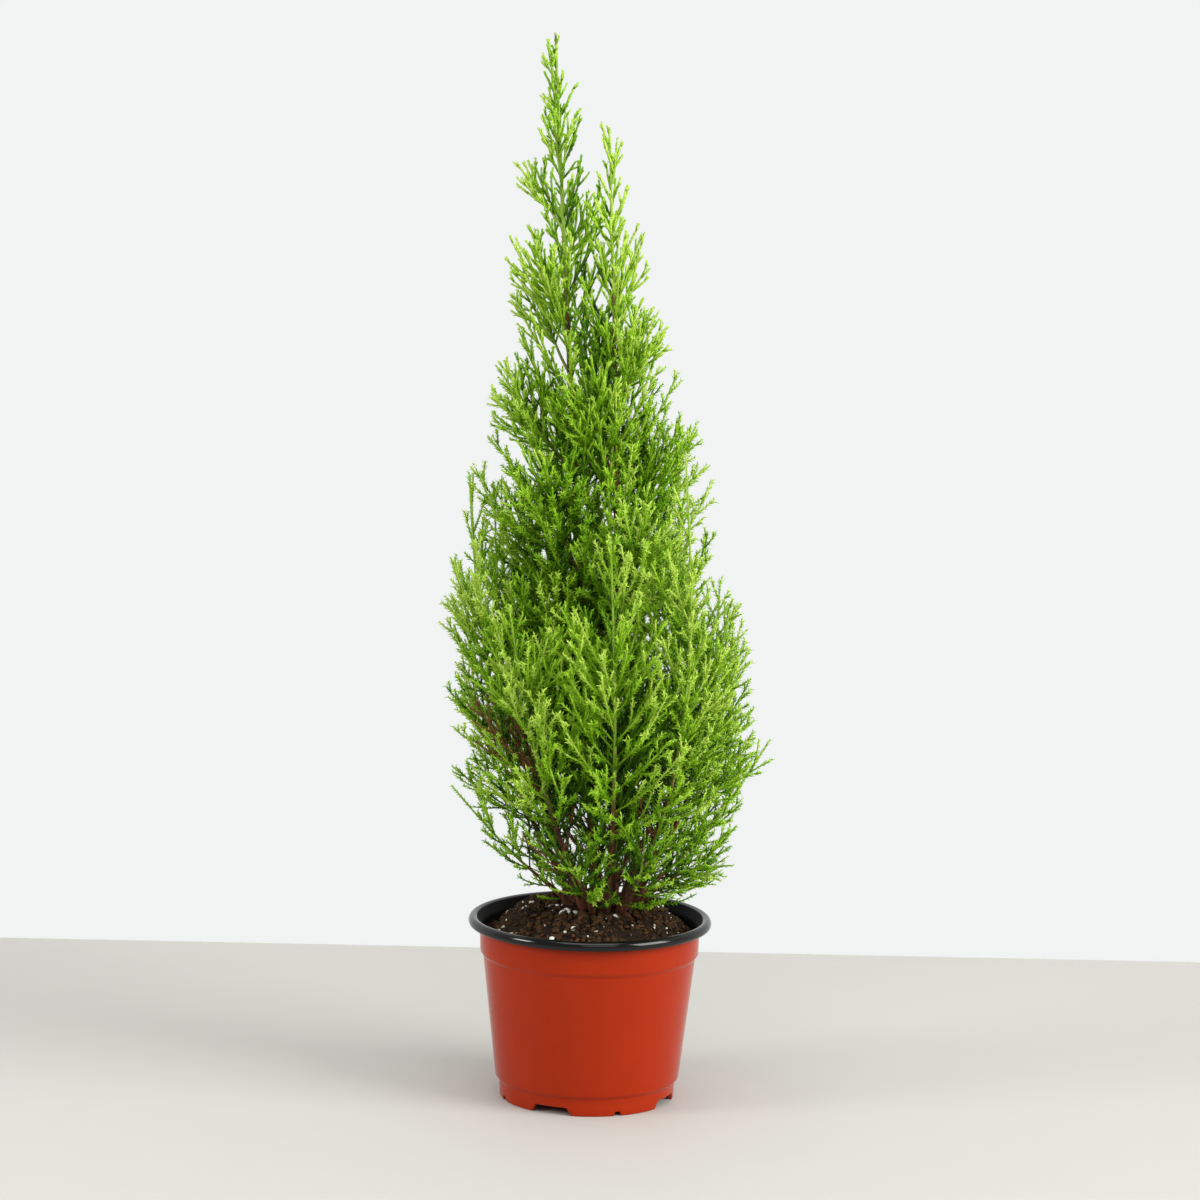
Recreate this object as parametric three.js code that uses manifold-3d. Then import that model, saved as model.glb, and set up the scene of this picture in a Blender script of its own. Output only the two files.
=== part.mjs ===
// A lemon cypress in a two-layer nursery pot: a clump of stems that rises from a mound of potting mix,
// with a main trunk, a second leader, a ring of boughs and the plumes of foliage that they carry.
// Millimetres, +Z up, origin at the middle of the pot's underside, front of the plant towards -Y.
import * as THREE from "three";
import { mergeVertices } from "three/addons/utils/BufferGeometryUtils.js";
import Module from "manifold-3d";

const wasm = await Module();
wasm.setup();

const { degToRad, radToDeg, lerp, smoothstep } = THREE.MathUtils;
const UP = new THREE.Vector3(0, 0, 1);

// Driving dimensions of the pot: a six inch azalea pot, terracotta outside and black inside
const SEAT_GAP = 0.3;
const POT_HEIGHT = 115;
const RIM_RADIUS = 76.2;
const BEAD_WIDTH = 5.4;
const BEAD_HEIGHT = 6.2;
const COLLAR_RADIUS = 69;
const COLLAR_DRAFT = 0.7;
const COLLAR_FOOT = 92.5;
const WALL_TOP_RADIUS = 66.5;
const WALL_FOOT_RADIUS = 57.6;
const BAND_RADIUS = 55.2;
const BAND_HEIGHT = 11;
const STEP_HEIGHT = 2.2;
const LAYER = 0.8;
const FOOT_WIDTH = 3.4;
const FOOT_DRAFT = 0.6;
const FLOOR_RISE = 5.5;
const PAD_RADIUS = 26;
const PAD_SLOPE = 4;
const POT_SEGMENTS = 32;

// Drainage notches in the foot: four wide ones and four narrow ones between them
const NOTCH_AZIMUTH = 246;
const NOTCHES = [
  { turn: 0, footWidth: 26.6, topWidth: 20.5, height: 5 },
  { turn: 45, footWidth: 4.8, topWidth: 3, height: 2.6 },
];
const NOTCH_QUARTER = 90;

// Driving dimensions of the potting mix, which is heaped up round the foot of the clump
const SOIL_EDGE = 103.5;
const SOIL_TOP = 122;
const SOIL_CROWN_RADIUS = 35;

// Driving dimensions of the stems. Azimuths run from +X towards +Y, in degrees
const CLUMP_X = 8;
const TRUNK = { base: [4, 4], tip: [-32, -2], top: 662, bow: [-2, 3], radius: 4.6, tipRadius: 0.7 };
const LEADER = { base: [14.5, -4], tip: [2, -14], top: 606, bow: [6, -2], radius: 3.2, tipRadius: 0.7 };
const LEADER_SHAPE = { sides: 8, steps: 14 };
const ROOT_FLARE = 0.45;
const FLARE_LENGTH = 9;
const LEVEL_FOOT = 0.3;
const TAPER_POWER = 0.8;
const BOUGH_BEND = { out: 0.45, up: 0.55 };
const BOUGH = { ring: 19, end: 37, endHeight: 160, radius: 2.9, tipRadius: 2.1, sides: 6, steps: 4 };
const LOW_BOUGH = { ring: 22, end: 42, endHeight: 141, radius: 2, tipRadius: 1.5, sides: 5, steps: 4 };
const BOUGH_TIPS = [
  { azimuth: 357, reach: 76, top: 330 },
  { azimuth: 46, reach: 70, top: 398 },
  { azimuth: 98, reach: 74, top: 348 },
  { azimuth: 146, reach: 74, top: 384 },
  { azimuth: 186, reach: 80, top: 392 },
  { azimuth: 230, reach: 82, top: 318 },
  { azimuth: 276, reach: 74, top: 364 },
  { azimuth: 316, reach: 72, top: 414 },
];
const LOW_BOUGH_TIPS = [
  { azimuth: 336, reach: 96, top: 157 },
  { azimuth: 20, reach: 119, top: 222 },
  { azimuth: 72, reach: 84, top: 186 },
  { azimuth: 122, reach: 90, top: 204 },
  { azimuth: 208, reach: 98, top: 205 },
  { azimuth: 253, reach: 66, top: 168 },
  { azimuth: 296, reach: 74, top: 182 },
];

// Outline of the crown: [height, furthest left, furthest right], the same from front to back as across
const CROWN = [
  [128, -34, 60],
  [142, -48, 88],
  [180, -86, 93],
  [222, -93, 114],
  [255, -93, 98],
  [290, -98, 97],
  [360, -91, 82],
  [425, -72, 62],
  [516, -63, 36],
  [570, -59, 18],
  [610, -50, 8],
  [643, -44, -20],
  [664, -38, -27],
];

// Driving dimensions of the plumes that stand round the trunk and the second leader. A plume's tip stands off
// its leader by SPIRE_REACH times its depth below the leader's top, raised to SPIRE_POWER
const GOLDEN_ANGLE = 137.508;
const SPIRE_REACH = 0.92;
const SPIRE_POWER = 0.715;
const TRUNK_PLUMES = { count: 16, lowest: 156, highest: 632, rise: [106, 22], mostReach: 52 };
const LEADER_PLUMES = { count: 8, lowest: 235, highest: 574, rise: [100, 26], mostReach: 52 };
const FACING_GAP = 104;
const LEAST_DEPTH = 10;
const ROOT_POWER = 0.9;
const LEADER_PLUME_BEND = { out: 0.6, up: 0.4 };
const BOUGH_PLUME_LEAD = 0.36;
const LEADER_SEED = 400;

// Driving dimensions of the foliage: three-sided stems, and toothed blades that stand for sprays
const STEM_RADIUS = 1.7;
const STEM_TIP_RADIUS = 1;
const NODE_HEIGHT = 3;
const NODE_SHARE = 0.05;
const NODE_TWIST = -40;
const LAST_NODE = 0.08;
const TIP_SPREAD = 24;
const BLADE = { stalk: 0.18, taper: 0.84, rib: 2.4, tipRib: 1.1, thickness: 1.4 };
const TOOTH = { sweep: 0.9, lean: 0.6, taper: 0.45, furthest: 0.97 };
const SPRAY = { lengthAlong: [1.1, 0.7], lengthChance: [0.85, 1.15], widthAlong: [1.05, 0.8], rollChance: 20 };
const TIP_SPRAY = { width: 0.6, slimness: 0.6, pairs: 2 };
const SPACE_MARGIN = 0.8;
const LIMB_MARGIN = 1.5;
const SHORTER = [
  { share: 1, pairs: 2 },
  { share: 0.8, pairs: 2 },
  { share: 0.62, pairs: 1 },
  { share: 0.48, pairs: 1 },
];
const LEAST_CROSSING = 1e-6;

// Repeatable number from 0 to 1 for a seed and a count
function chance(seed, count) {
  const wave = Math.sin(seed * 127.1 + count * 311.7) * 43758.5453;
  return wave - Math.floor(wave);
}

function polar(radius, azimuth, height, centreX = 0) {
  const angle = degToRad(azimuth);
  return new THREE.Vector3(centreX + radius * Math.cos(angle), radius * Math.sin(angle), height);
}

// Closed solid of a geometry whose shared corners are merged
function solidOf(geometry) {
  const bare = new THREE.BufferGeometry().setAttribute("position", geometry.getAttribute("position"));
  if (geometry.index) bare.setIndex(geometry.index);
  const merged = mergeVertices(bare, 1e-4);
  return new wasm.Manifold(
    new wasm.Mesh({
      numProp: 3,
      vertProperties: new Float32Array(merged.attributes.position.array),
      triVerts: new Uint32Array(merged.index.array),
    }),
  );
}

function geometryOf(solid) {
  const mesh = solid.getMesh();
  const geometry = new THREE.BufferGeometry();
  geometry.setAttribute("position", new THREE.BufferAttribute(new Float32Array(mesh.vertProperties), 3));
  geometry.setIndex(new THREE.BufferAttribute(new Uint32Array(mesh.triVerts), 1));
  return geometry;
}

// Solid of revolution about +Z from [radius, height] pairs that run anticlockwise round the section
function turned(profile, segments) {
  const points = profile.map(([radius, height]) => new THREE.Vector2(radius, height));
  return new THREE.LatheGeometry(points, segments).rotateX(Math.PI / 2);
}

// Outside radius of the collar at a height
function collarRadius(height) {
  const share = (height - COLLAR_FOOT) / (POT_HEIGHT - BEAD_HEIGHT - COLLAR_FOOT);
  return COLLAR_RADIUS - COLLAR_DRAFT * (1 - share);
}

// The cup that a layer of the pot follows, from the middle of its floor to its top, drawn in by an inset
function cupProfile(inset, top) {
  const padShift = inset / 2;
  const stepShift = inset / 3;
  return [
    [0, inset],
    [PAD_RADIUS - padShift, inset],
    [PAD_RADIUS + PAD_SLOPE - padShift, FLOOR_RISE + inset],
    [BAND_RADIUS - FOOT_DRAFT - inset, FLOOR_RISE + inset],
    [BAND_RADIUS - inset, BAND_HEIGHT + stepShift],
    [WALL_FOOT_RADIUS - inset, BAND_HEIGHT + STEP_HEIGHT + stepShift],
    [WALL_TOP_RADIUS - inset, COLLAR_FOOT - STEP_HEIGHT + stepShift],
    [collarRadius(COLLAR_FOOT) - inset, COLLAR_FOOT + stepShift],
    [collarRadius(top) - inset, top],
  ];
}

// Prism of a notch's trapezoid, standing across the foot of the pot at an azimuth
function notchCutter({ footWidth, topWidth, height }, azimuth) {
  const outline = new THREE.Shape([
    new THREE.Vector2(-footWidth / 2, -1),
    new THREE.Vector2(footWidth / 2, -1),
    new THREE.Vector2(topWidth / 2, height),
    new THREE.Vector2(-topWidth / 2, height),
  ]);
  const inside = BAND_RADIUS - 3 * FOOT_WIDTH;
  const prism = new THREE.ExtrudeGeometry(outline, { depth: 6 * FOOT_WIDTH, bevelEnabled: false });
  const outwards = polar(1, azimuth, 0);
  const across = new THREE.Vector3().crossVectors(UP, outwards);
  const place = new THREE.Matrix4().makeBasis(across, UP, outwards).setPosition(polar(inside, azimuth, 0));
  return prism.applyMatrix4(place);
}

// Terracotta layer: foot ring with its notches, raised floor with a level pad, wall, and collar under the bead
function potOuterLayer() {
  const collarTop = POT_HEIGHT - BEAD_HEIGHT - SEAT_GAP;
  const [, padEdge, , , ...wall] = cupProfile(0, collarTop);
  const underside = [
    [0, 0],
    padEdge,
    [PAD_RADIUS + PAD_SLOPE, FLOOR_RISE],
    [BAND_RADIUS - FOOT_WIDTH - 1, FLOOR_RISE],
    [BAND_RADIUS - FOOT_WIDTH, 0],
    [BAND_RADIUS - FOOT_DRAFT, 0],
  ];
  const inside = cupProfile(LAYER, collarTop).reverse();
  let layer = solidOf(turned([...underside, ...wall, ...inside], POT_SEGMENTS));
  for (const notch of NOTCHES) {
    for (let turn = notch.turn; turn < 360; turn += NOTCH_QUARTER) {
      layer = layer.subtract(solidOf(notchCutter(notch, NOTCH_AZIMUTH + turn)));
    }
  }
  return geometryOf(layer);
}

// Black layer: the lining of the cup and the bead that is rolled outwards over the collar
function potInnerLayer() {
  const beadFoot = POT_HEIGHT - BEAD_HEIGHT;
  const beadMiddle = RIM_RADIUS - BEAD_WIDTH / 2;
  const mouth = RIM_RADIUS - BEAD_WIDTH;
  const bead = [
    [beadMiddle + 1, beadFoot],
    [RIM_RADIUS - 0.4, beadFoot + 1.2],
    [RIM_RADIUS, beadFoot + 3],
    [RIM_RADIUS - 0.9, POT_HEIGHT - 1],
    [beadMiddle, POT_HEIGHT],
    [mouth, POT_HEIGHT - 0.7],
    [mouth - 1.4, POT_HEIGHT - 3],
  ];
  const outside = cupProfile(LAYER + SEAT_GAP, beadFoot);
  const inside = cupProfile(2 * LAYER + SEAT_GAP, beadFoot).reverse();
  return turned([...outside, ...bead, ...inside], POT_SEGMENTS);
}

// Potting mix: fills the cup, and rises from the wall to a level crown that the stems stand on
function soilHeap() {
  const cup = cupProfile(2 * (LAYER + SEAT_GAP), SOIL_EDGE);
  const [edge] = cup[cup.length - 1];
  const rise = SOIL_TOP - SOIL_EDGE;
  const slope = [0.2, 0.45, 0.75].map((share) => [
    lerp(edge, SOIL_CROWN_RADIUS, share),
    SOIL_EDGE + rise * smoothstep(share, 0, 1),
  ]);
  return turned([...cup, ...slope, [SOIL_CROWN_RADIUS, SOIL_TOP], [0, SOIL_TOP]], POT_SEGMENTS);
}

// Tapering limb along a path. Its rings lie level at its foot, for a flat cut, and square to the path above
function limbGeometry(path, radiusAt, sides, steps) {
  const geometry = new THREE.CylinderGeometry(1, 1, 1, sides, steps);
  const corners = geometry.getAttribute("position");
  const lean = new THREE.Quaternion();
  const offset = new THREE.Vector3();
  for (let i = 0; i < corners.count; i += 1) {
    const along = corners.getY(i) + 0.5;
    const level = 1 - smoothstep(along, 0, LEVEL_FOOT);
    const normal = path.getTangent(along).lerp(UP, level).normalize();
    lean.setFromUnitVectors(UP, normal);
    offset.set(corners.getX(i), -corners.getZ(i), 0).multiplyScalar(radiusAt(along)).applyQuaternion(lean);
    const place = path.getPoint(along).add(offset);
    corners.setXYZ(i, place.x, place.y, place.z);
  }
  return geometry;
}

// A limb: its path, its radius along the path, and the mesh geometry of the wood
function makeLimb(name, path, { radius, tipRadius, sides, steps }) {
  const length = path.getLength();
  const flareAt = (along) => ROOT_FLARE * radius * Math.exp((-along * length) / FLARE_LENGTH);
  const radiusAt = (along) => lerp(radius, tipRadius, Math.pow(along, TAPER_POWER)) + flareAt(along);
  const geometry = limbGeometry(path, radiusAt, sides, steps);
  return { name, path, radiusAt, line: path.getPoints(24), geometry };
}

function leaderLimb(name, { base, tip, top, bow, radius, tipRadius }) {
  const foot = new THREE.Vector3(base[0], base[1], SOIL_TOP + SEAT_GAP);
  const head = new THREE.Vector3(tip[0], tip[1], top);
  const middle = foot.clone().lerp(head, 0.5).add(new THREE.Vector3(bow[0], bow[1], 0));
  const path = new THREE.QuadraticBezierCurve3(foot, middle, head);
  return makeLimb(name, path, { radius, tipRadius, ...LEADER_SHAPE });
}

// A bough starts steeply at the rim of the clump and leans out towards its plume
function boughLimb(name, size, azimuth) {
  const foot = polar(size.ring, azimuth, SOIL_TOP + SEAT_GAP, CLUMP_X);
  const end = polar(size.end, azimuth, size.endHeight, CLUMP_X);
  const bendRadius = lerp(size.ring, size.end, BOUGH_BEND.out);
  const middle = polar(bendRadius, azimuth, lerp(foot.z, end.z, BOUGH_BEND.up), CLUMP_X);
  return makeLimb(name, new THREE.QuadraticBezierCurve3(foot, middle, end), size);
}

// Stem of a plume that carries a bough on: it sets off along the bough and bends up to the plume's tip
function boughPlume(name, bough, { azimuth, reach, top }, habit) {
  const heading = bough.path.getTangent(1);
  const start = bough.path.getPoint(1).addScaledVector(heading, SEAT_GAP);
  const tip = polar(reach, azimuth, top);
  const middle = start.clone().addScaledVector(heading, BOUGH_PLUME_LEAD * start.distanceTo(tip));
  const path = new THREE.QuadraticBezierCurve3(start, middle, tip);
  return { name, path, habit, rootNormal: heading, stemRadius: bough.radiusAt(1), seed: azimuth };
}

// Stems of the plumes round a leader: they climb it in a spiral that leaves out the side facing the other leader
function leaderPlumes(prefix, leader, plumes, facing, habitAt) {
  const { count, lowest, highest, rise, mostReach } = plumes;
  const foot = leader.path.getPoint(0).z;
  const top = leader.path.getPoint(1).z;
  return Array.from({ length: count }, (_, i) => {
    const share = i / (count - 1);
    const rootHeight = lerp(lowest, highest, Math.pow(share, ROOT_POWER));
    const turn = ((i * GOLDEN_ANGLE) % 360) / 360;
    const azimuth = facing + FACING_GAP / 2 + turn * (360 - FACING_GAP);
    const tipHeight = rootHeight + lerp(rise[0], rise[1], share);
    const depth = Math.max(top - tipHeight, LEAST_DEPTH);
    const reach = Math.min(SPIRE_REACH * Math.pow(depth, SPIRE_POWER), mostReach);
    const rootAlong = (rootHeight - foot) / (top - foot);
    const outwards = polar(1, azimuth, 0);
    const root = leader.path.getPoint(rootAlong);
    root.addScaledVector(outwards, leader.radiusAt(rootAlong) + SEAT_GAP);
    const axis = leader.path.getPoint(Math.min((tipHeight - foot) / (top - foot), 1));
    const tip = polar(reach, azimuth, tipHeight).add(new THREE.Vector3(axis.x, axis.y, 0));
    const middle = root.clone().lerp(tip, LEADER_PLUME_BEND.out);
    middle.z = lerp(root.z, tip.z, LEADER_PLUME_BEND.up);
    return {
      name: `${prefix}_${String(i + 1).padStart(2, "0")}`,
      path: new THREE.QuadraticBezierCurve3(root, middle, tip),
      habit: habitAt(share),
      rootNormal: outwards,
      stemRadius: lerp(STEM_RADIUS, STEM_TIP_RADIUS, share),
      seed: LEADER_SEED + i,
    };
  });
}

// Corners of a toothed blade along +Y and across X, flat behind and ridged in front: rows across its rib,
// then a pair of tooth tips between each two rows, then its tip
function bladeCorners(length, width, pairs) {
  const { stalk, taper, rib, tipRib, thickness } = BLADE;
  const corners = [];
  for (let i = 0; i <= pairs; i += 1) {
    const share = i / pairs;
    const y = lerp(stalk, taper, share) * length;
    const half = lerp(rib, tipRib, share);
    corners.push([0, y, thickness / 2], [-half, y, -thickness / 2], [half, y, -thickness / 2]);
  }
  for (let i = 0; i < pairs; i += 1) {
    const out = (width / 2) * lerp(1, TOOTH.taper, i / pairs);
    const swept = lerp(stalk, taper, (i + TOOTH.sweep) / pairs) * length + TOOTH.lean * out;
    const ahead = Math.min(swept, TOOTH.furthest * length);
    corners.push([-out, ahead, -thickness / 2], [out, ahead, -thickness / 2]);
  }
  corners.push([0, length, -thickness / 2]);
  return corners.map((corner) => new THREE.Vector3(...corner));
}

// The two faces of a patch with four corners, split along the diagonal that bulges outwards
function bulgingFaces(corners, [a, b, c, d]) {
  const [first, second, third, fourth] = [a, b, c, d].map((i) => corners[i]);
  const normal = new THREE.Triangle(first, second, third).getNormal(new THREE.Vector3());
  const bulges = normal.dot(fourth.clone().sub(first)) < 0;
  return bulges ? [[a, b, c], [a, c, d]] : [[a, b, d], [b, c, d]];
}

// Faces of that blade by corner number. Corners 0 to 2 are the face it grows from: ridge, left and right
function bladeFaces(corners, pairs) {
  const row = (i) => [3 * i, 3 * i + 1, 3 * i + 2];
  const toothTips = 3 * (pairs + 2);
  const tip = toothTips + 2 * pairs;
  const faces = [];
  const foot = row(0);
  const first = row(1);
  for (const [a, b] of [[0, 2], [2, 1], [1, 0]]) {
    faces.push(...bulgingFaces(corners, [foot[a], foot[b], first[b], first[a]]));
  }
  for (let i = 0; i < pairs; i += 1) {
    const [ridge, left, right] = row(i + 1);
    const [nextRidge, nextLeft, nextRight] = row(i + 2);
    const leftTip = toothTips + 2 * i;
    const rightTip = leftTip + 1;
    faces.push([ridge, right, rightTip], [ridge, rightTip, nextRidge], [nextRidge, rightTip, nextRight]);
    faces.push([ridge, leftTip, left], [ridge, nextRidge, leftTip], [nextRidge, nextLeft, leftTip]);
    faces.push([left, leftTip, nextLeft], [right, nextRight, rightTip]);
    faces.push([left, nextLeft, nextRight], [left, nextRight, right]);
  }
  const [ridge, left, right] = row(pairs + 1);
  faces.push([ridge, right, tip], [ridge, tip, left], [left, tip, right]);
  return faces;
}

function geometryFrom(corners, faces) {
  const geometry = new THREE.BufferGeometry().setFromPoints(corners);
  return geometry.setIndex(faces.flat());
}

function distanceToLine(point, line) {
  let least = Infinity;
  const step = new THREE.Line3();
  const near = new THREE.Vector3();
  for (let i = 1; i < line.length; i += 1) {
    step.set(line[i - 1], line[i]).closestPointToPoint(point, true, near);
    least = Math.min(least, near.distanceTo(point));
  }
  return least;
}

function touchesLimb(point, limb) {
  const top = limb.line[limb.line.length - 1].z;
  const foot = limb.line[0].z;
  const along = Math.min(Math.max((point.z - foot) / (top - foot), 0), 1);
  return distanceToLine(point, limb.line) < limb.radiusAt(along) + LIMB_MARGIN;
}

// True inside the crown's outline, an ellipse at each height
function insideCrown({ x, y, z }) {
  const above = CROWN.findIndex(([height]) => height > z);
  if (above < 1) return false;
  const [low, lowLeft, lowRight] = CROWN[above - 1];
  const [high, highLeft, highRight] = CROWN[above];
  const share = (z - low) / (high - low);
  const left = lerp(lowLeft, highLeft, share);
  const right = lerp(lowRight, highRight, share);
  return Math.hypot(x - (left + right) / 2, y) < (right - left) / 2;
}

// True where every corner lies in the crown, nearer to its own plume's stem than to any other's, and clear of wood
function keepsToItsSpace(corners, plume, plumes, limbs) {
  return corners.every((corner) => {
    const own = distanceToLine(corner, plume.line);
    if (!insideCrown(corner)) return false;
    const crowded = (other) => other !== plume && distanceToLine(corner, other.line) < own + SPACE_MARGIN;
    return !plumes.some(crowded) && !limbs.some((limb) => touchesLimb(corner, limb));
  });
}

// World corners of a blade that grows out of a face along a heading. It lies across the face's lower edge
function placedBlade([a, b, c], heading, { length, width, roll, pairs }) {
  const root = a.clone().add(b).add(c).divideScalar(3);
  const across = a.clone().sub(b).projectOnPlane(heading).normalize().applyAxisAngle(heading, roll);
  const front = new THREE.Vector3().crossVectors(across, heading);
  const place = new THREE.Matrix4().makeBasis(across, heading, front).setPosition(root);
  return bladeCorners(length, width, pairs).map((corner) => corner.applyMatrix4(place));
}

// A blade and the face that it grows from as a closed solid, to test it against its neighbours
function bladeSolid([a, b, c], blade, pairs) {
  const corners = [c, b, a, ...blade];
  return solidOf(geometryFrom(corners, [...bladeFaces(corners, pairs), [0, 1, 2]]));
}

// Adds a blade to the surface in the place of one of its faces
function growBlade(surface, [a, b, c], blade, pairs) {
  const numbers = [c, b, a, ...blade.map((_, i) => surface.corners.length + i)];
  surface.corners.push(...blade);
  const corners = numbers.map((number) => surface.corners[number]);
  surface.faces.push(...bladeFaces(corners, pairs).map((face) => face.map((i) => numbers[i])));
}

// Share of the way along a plume at which a node stands
function nodePlace({ first, end, nodes }, node) {
  return lerp(first, end - LAST_NODE, node / (nodes - 1));
}

// Rings of a plume's three-sided stem: at its root, below and above each node, and at its end
function stemRings({ path, habit, seed, rootNormal, stemRadius }) {
  const swell = (along) => habit.core * Math.sin((Math.PI * along) / habit.end);
  const ring = (along, node, normal = path.getTangent(along)) => {
    const lean = new THREE.Quaternion().setFromUnitVectors(UP, normal);
    const radius = lerp(stemRadius, STEM_TIP_RADIUS, along) + swell(along);
    const place = path.getPoint(along);
    return [0, 120, 240].map((turn) =>
      polar(radius, turn + seed * GOLDEN_ANGLE + node * NODE_TWIST, 0).applyQuaternion(lean).add(place),
    );
  };
  const nodeRise = Math.min(NODE_HEIGHT / path.getLength(), NODE_SHARE);
  const rings = [ring(0, 0, rootNormal)];
  for (let node = 0; node < habit.nodes; node += 1) {
    const along = nodePlace(habit, node);
    rings.push(ring(along, node), ring(along + nodeRise, node));
  }
  rings.push(ring(habit.end, habit.nodes));
  return rings;
}

// The two faces between a ring and the next one up, on one of the stem's sides
function sideFaces(ring, side) {
  const a = 3 * ring + side;
  const b = 3 * ring + ((side + 1) % 3);
  return [[a, b, b + 3], [a, b + 3, a + 3]];
}

// Heading of a blade at a face of the stem: the stem's heading, opened out towards that side
function bladeHeading(lower, upper, side, angle) {
  const middleOf = (ring) => ring[0].clone().add(ring[1]).add(ring[2]).divideScalar(3);
  const middle = middleOf(lower);
  const tangent = middleOf(upper).sub(middle).normalize();
  const outwards = lower[side].clone().add(lower[(side + 1) % 3]).multiplyScalar(0.5).sub(middle).normalize();
  const tilt = degToRad(angle);
  return outwards.multiplyScalar(Math.sin(tilt)).addScaledVector(tangent, Math.cos(tilt)).normalize();
}

// Sizes to try for a spray, the longest first
function spraySizes({ habit, seed }, along, count) {
  const luck = lerp(...SPRAY.lengthChance, chance(seed, count));
  const length = habit.length * lerp(...SPRAY.lengthAlong, along) * luck;
  const width = habit.width * lerp(...SPRAY.widthAlong, along);
  const roll = degToRad(lerp(-SPRAY.rollChance, SPRAY.rollChance, chance(seed, count + 50)));
  return SHORTER.map(({ share, pairs }) => ({ length: length * share, width: width * share, roll, pairs }));
}

// One plume: a stem that swells to a slim core, a whorl of three blades at each of its nodes, and a blade at its
// tip. A blade that would leave the plume's space, touch wood or cross the rest is tried shorter, then left out
function plumeGeometry(plume, plumes, limbs) {
  const { path, habit } = plume;
  const rings = stemRings(plume);
  const surface = { corners: rings.flat(), faces: [[0, 2, 1]] };
  const endFace = [3, 2, 1].map((back) => surface.corners.length - back);
  const stemFaces = rings.slice(1).flatMap((_, ring) => [0, 1, 2].flatMap((side) => sideFaces(ring, side)));
  const grown = [solidOf(geometryFrom(surface.corners, [[0, 2, 1], ...stemFaces, endFace]))];
  const grow = (face, heading, size) => {
    const foot = face.map((corner) => surface.corners[corner]);
    const blade = placedBlade(foot, heading, size);
    grown.push(bladeSolid(foot, blade, size.pairs));
    growBlade(surface, face, blade, size.pairs);
  };
  const fits = (face, heading, size) => {
    const foot = face.map((corner) => surface.corners[corner]);
    const blade = placedBlade(foot, heading, size);
    if (!keepsToItsSpace(blade, plume, plumes, limbs)) return false;
    const solid = bladeSolid(foot, blade, size.pairs);
    return !grown.some((other) => solid.intersect(other).volume() > LEAST_CROSSING);
  };
  const tipLine = path.getPoint(1).sub(path.getPoint(habit.end));
  const tipWidth = Math.min(TIP_SPRAY.width * habit.width, TIP_SPRAY.slimness * tipLine.length());
  const tipSize = { length: tipLine.length(), width: tipWidth, roll: 0, pairs: TIP_SPRAY.pairs };
  grow(endFace, tipLine.clone().normalize(), tipSize);
  for (let ring = 0; ring < rings.length - 1; ring += 1) {
    const isNode = ring % 2 === 1;
    const along = nodePlace(habit, (ring - 1) / 2);
    for (let side = 0; side < 3; side += 1) {
      const [bud, plain] = sideFaces(ring, side);
      const heading = bladeHeading(rings[ring], rings[ring + 1], side, lerp(habit.spread, TIP_SPREAD, along));
      const size = isNode && spraySizes(plume, along, 3 * ring + side).find((each) => fits(bud, heading, each));
      surface.faces.push(plain);
      if (size) grow(bud, heading, size);
      else surface.faces.push(bud);
    }
  }
  return geometryFrom(surface.corners, surface.faces);
}

// Finishes of the parts
const FINISHES = {
  terracotta: { color: 0xb23a1c, roughness: 0.38, metalness: 0 },
  black: { color: 0x1d1c1b, roughness: 0.3, metalness: 0 },
  soil: { color: 0x2b1e13, roughness: 0.95, metalness: 0 },
  bark: { color: 0x5a3323, roughness: 0.85, metalness: 0 },
  foliage: { color: 0x7fa835, roughness: 0.6, metalness: 0 },
};

function makeMesh(name, geometry, finish) {
  const mesh = new THREE.Mesh(geometry, new THREE.MeshStandardMaterial(FINISHES[finish]));
  mesh.name = name;
  return mesh;
}

// Habits of the plumes, from the dense foot of the crown to its open top
const BOUGH_HABIT = { nodes: 13, length: 66, width: 34, spread: 56, first: 0.04, end: 0.8, core: 6 };
const LOW_HABIT = { nodes: 4, length: 46, width: 25, spread: 50, first: 0.08, end: 0.76, core: 1 };
const LEADER_HABITS = {
  foot: { nodes: 7, length: 60, width: 32, spread: 52, first: 0.16, end: 0.8, core: 5 },
  head: { nodes: 2, length: 26, width: 14, spread: 42, first: 0.2, end: 0.55, core: 0 },
};

// Habit of a leader's plume at a share of the way up it
function leaderHabit(share) {
  const { foot, head } = LEADER_HABITS;
  const between = Object.fromEntries(Object.keys(foot).map((key) => [key, lerp(foot[key], head[key], share)]));
  return { ...between, nodes: Math.round(between.nodes) };
}

const trunk = leaderLimb("trunk", TRUNK);
const leader = leaderLimb("second_leader", LEADER);
const boughs = BOUGH_TIPS.map(({ azimuth }, i) => boughLimb(`bough_${i + 1}`, BOUGH, azimuth));
const lowBoughs = LOW_BOUGH_TIPS.map(({ azimuth }, i) => boughLimb(`low_bough_${i + 1}`, LOW_BOUGH, azimuth));
const limbs = [trunk, leader, ...boughs, ...lowBoughs];

const [apartX, apartY] = [LEADER.base[0] - TRUNK.base[0], LEADER.base[1] - TRUNK.base[1]];
const towardsLeader = radToDeg(Math.atan2(apartY, apartX));
const plumes = [
  ...boughs.map((bough, i) => boughPlume(`plume_bough_${i + 1}`, bough, BOUGH_TIPS[i], BOUGH_HABIT)),
  ...lowBoughs.map((bough, i) => boughPlume(`plume_low_${i + 1}`, bough, LOW_BOUGH_TIPS[i], LOW_HABIT)),
  ...leaderPlumes("plume_trunk", trunk, TRUNK_PLUMES, towardsLeader, leaderHabit),
  ...leaderPlumes("plume_leader", leader, LEADER_PLUMES, towardsLeader + 180, leaderHabit),
];
for (const plume of plumes) plume.line = plume.path.getPoints(10);

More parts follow.
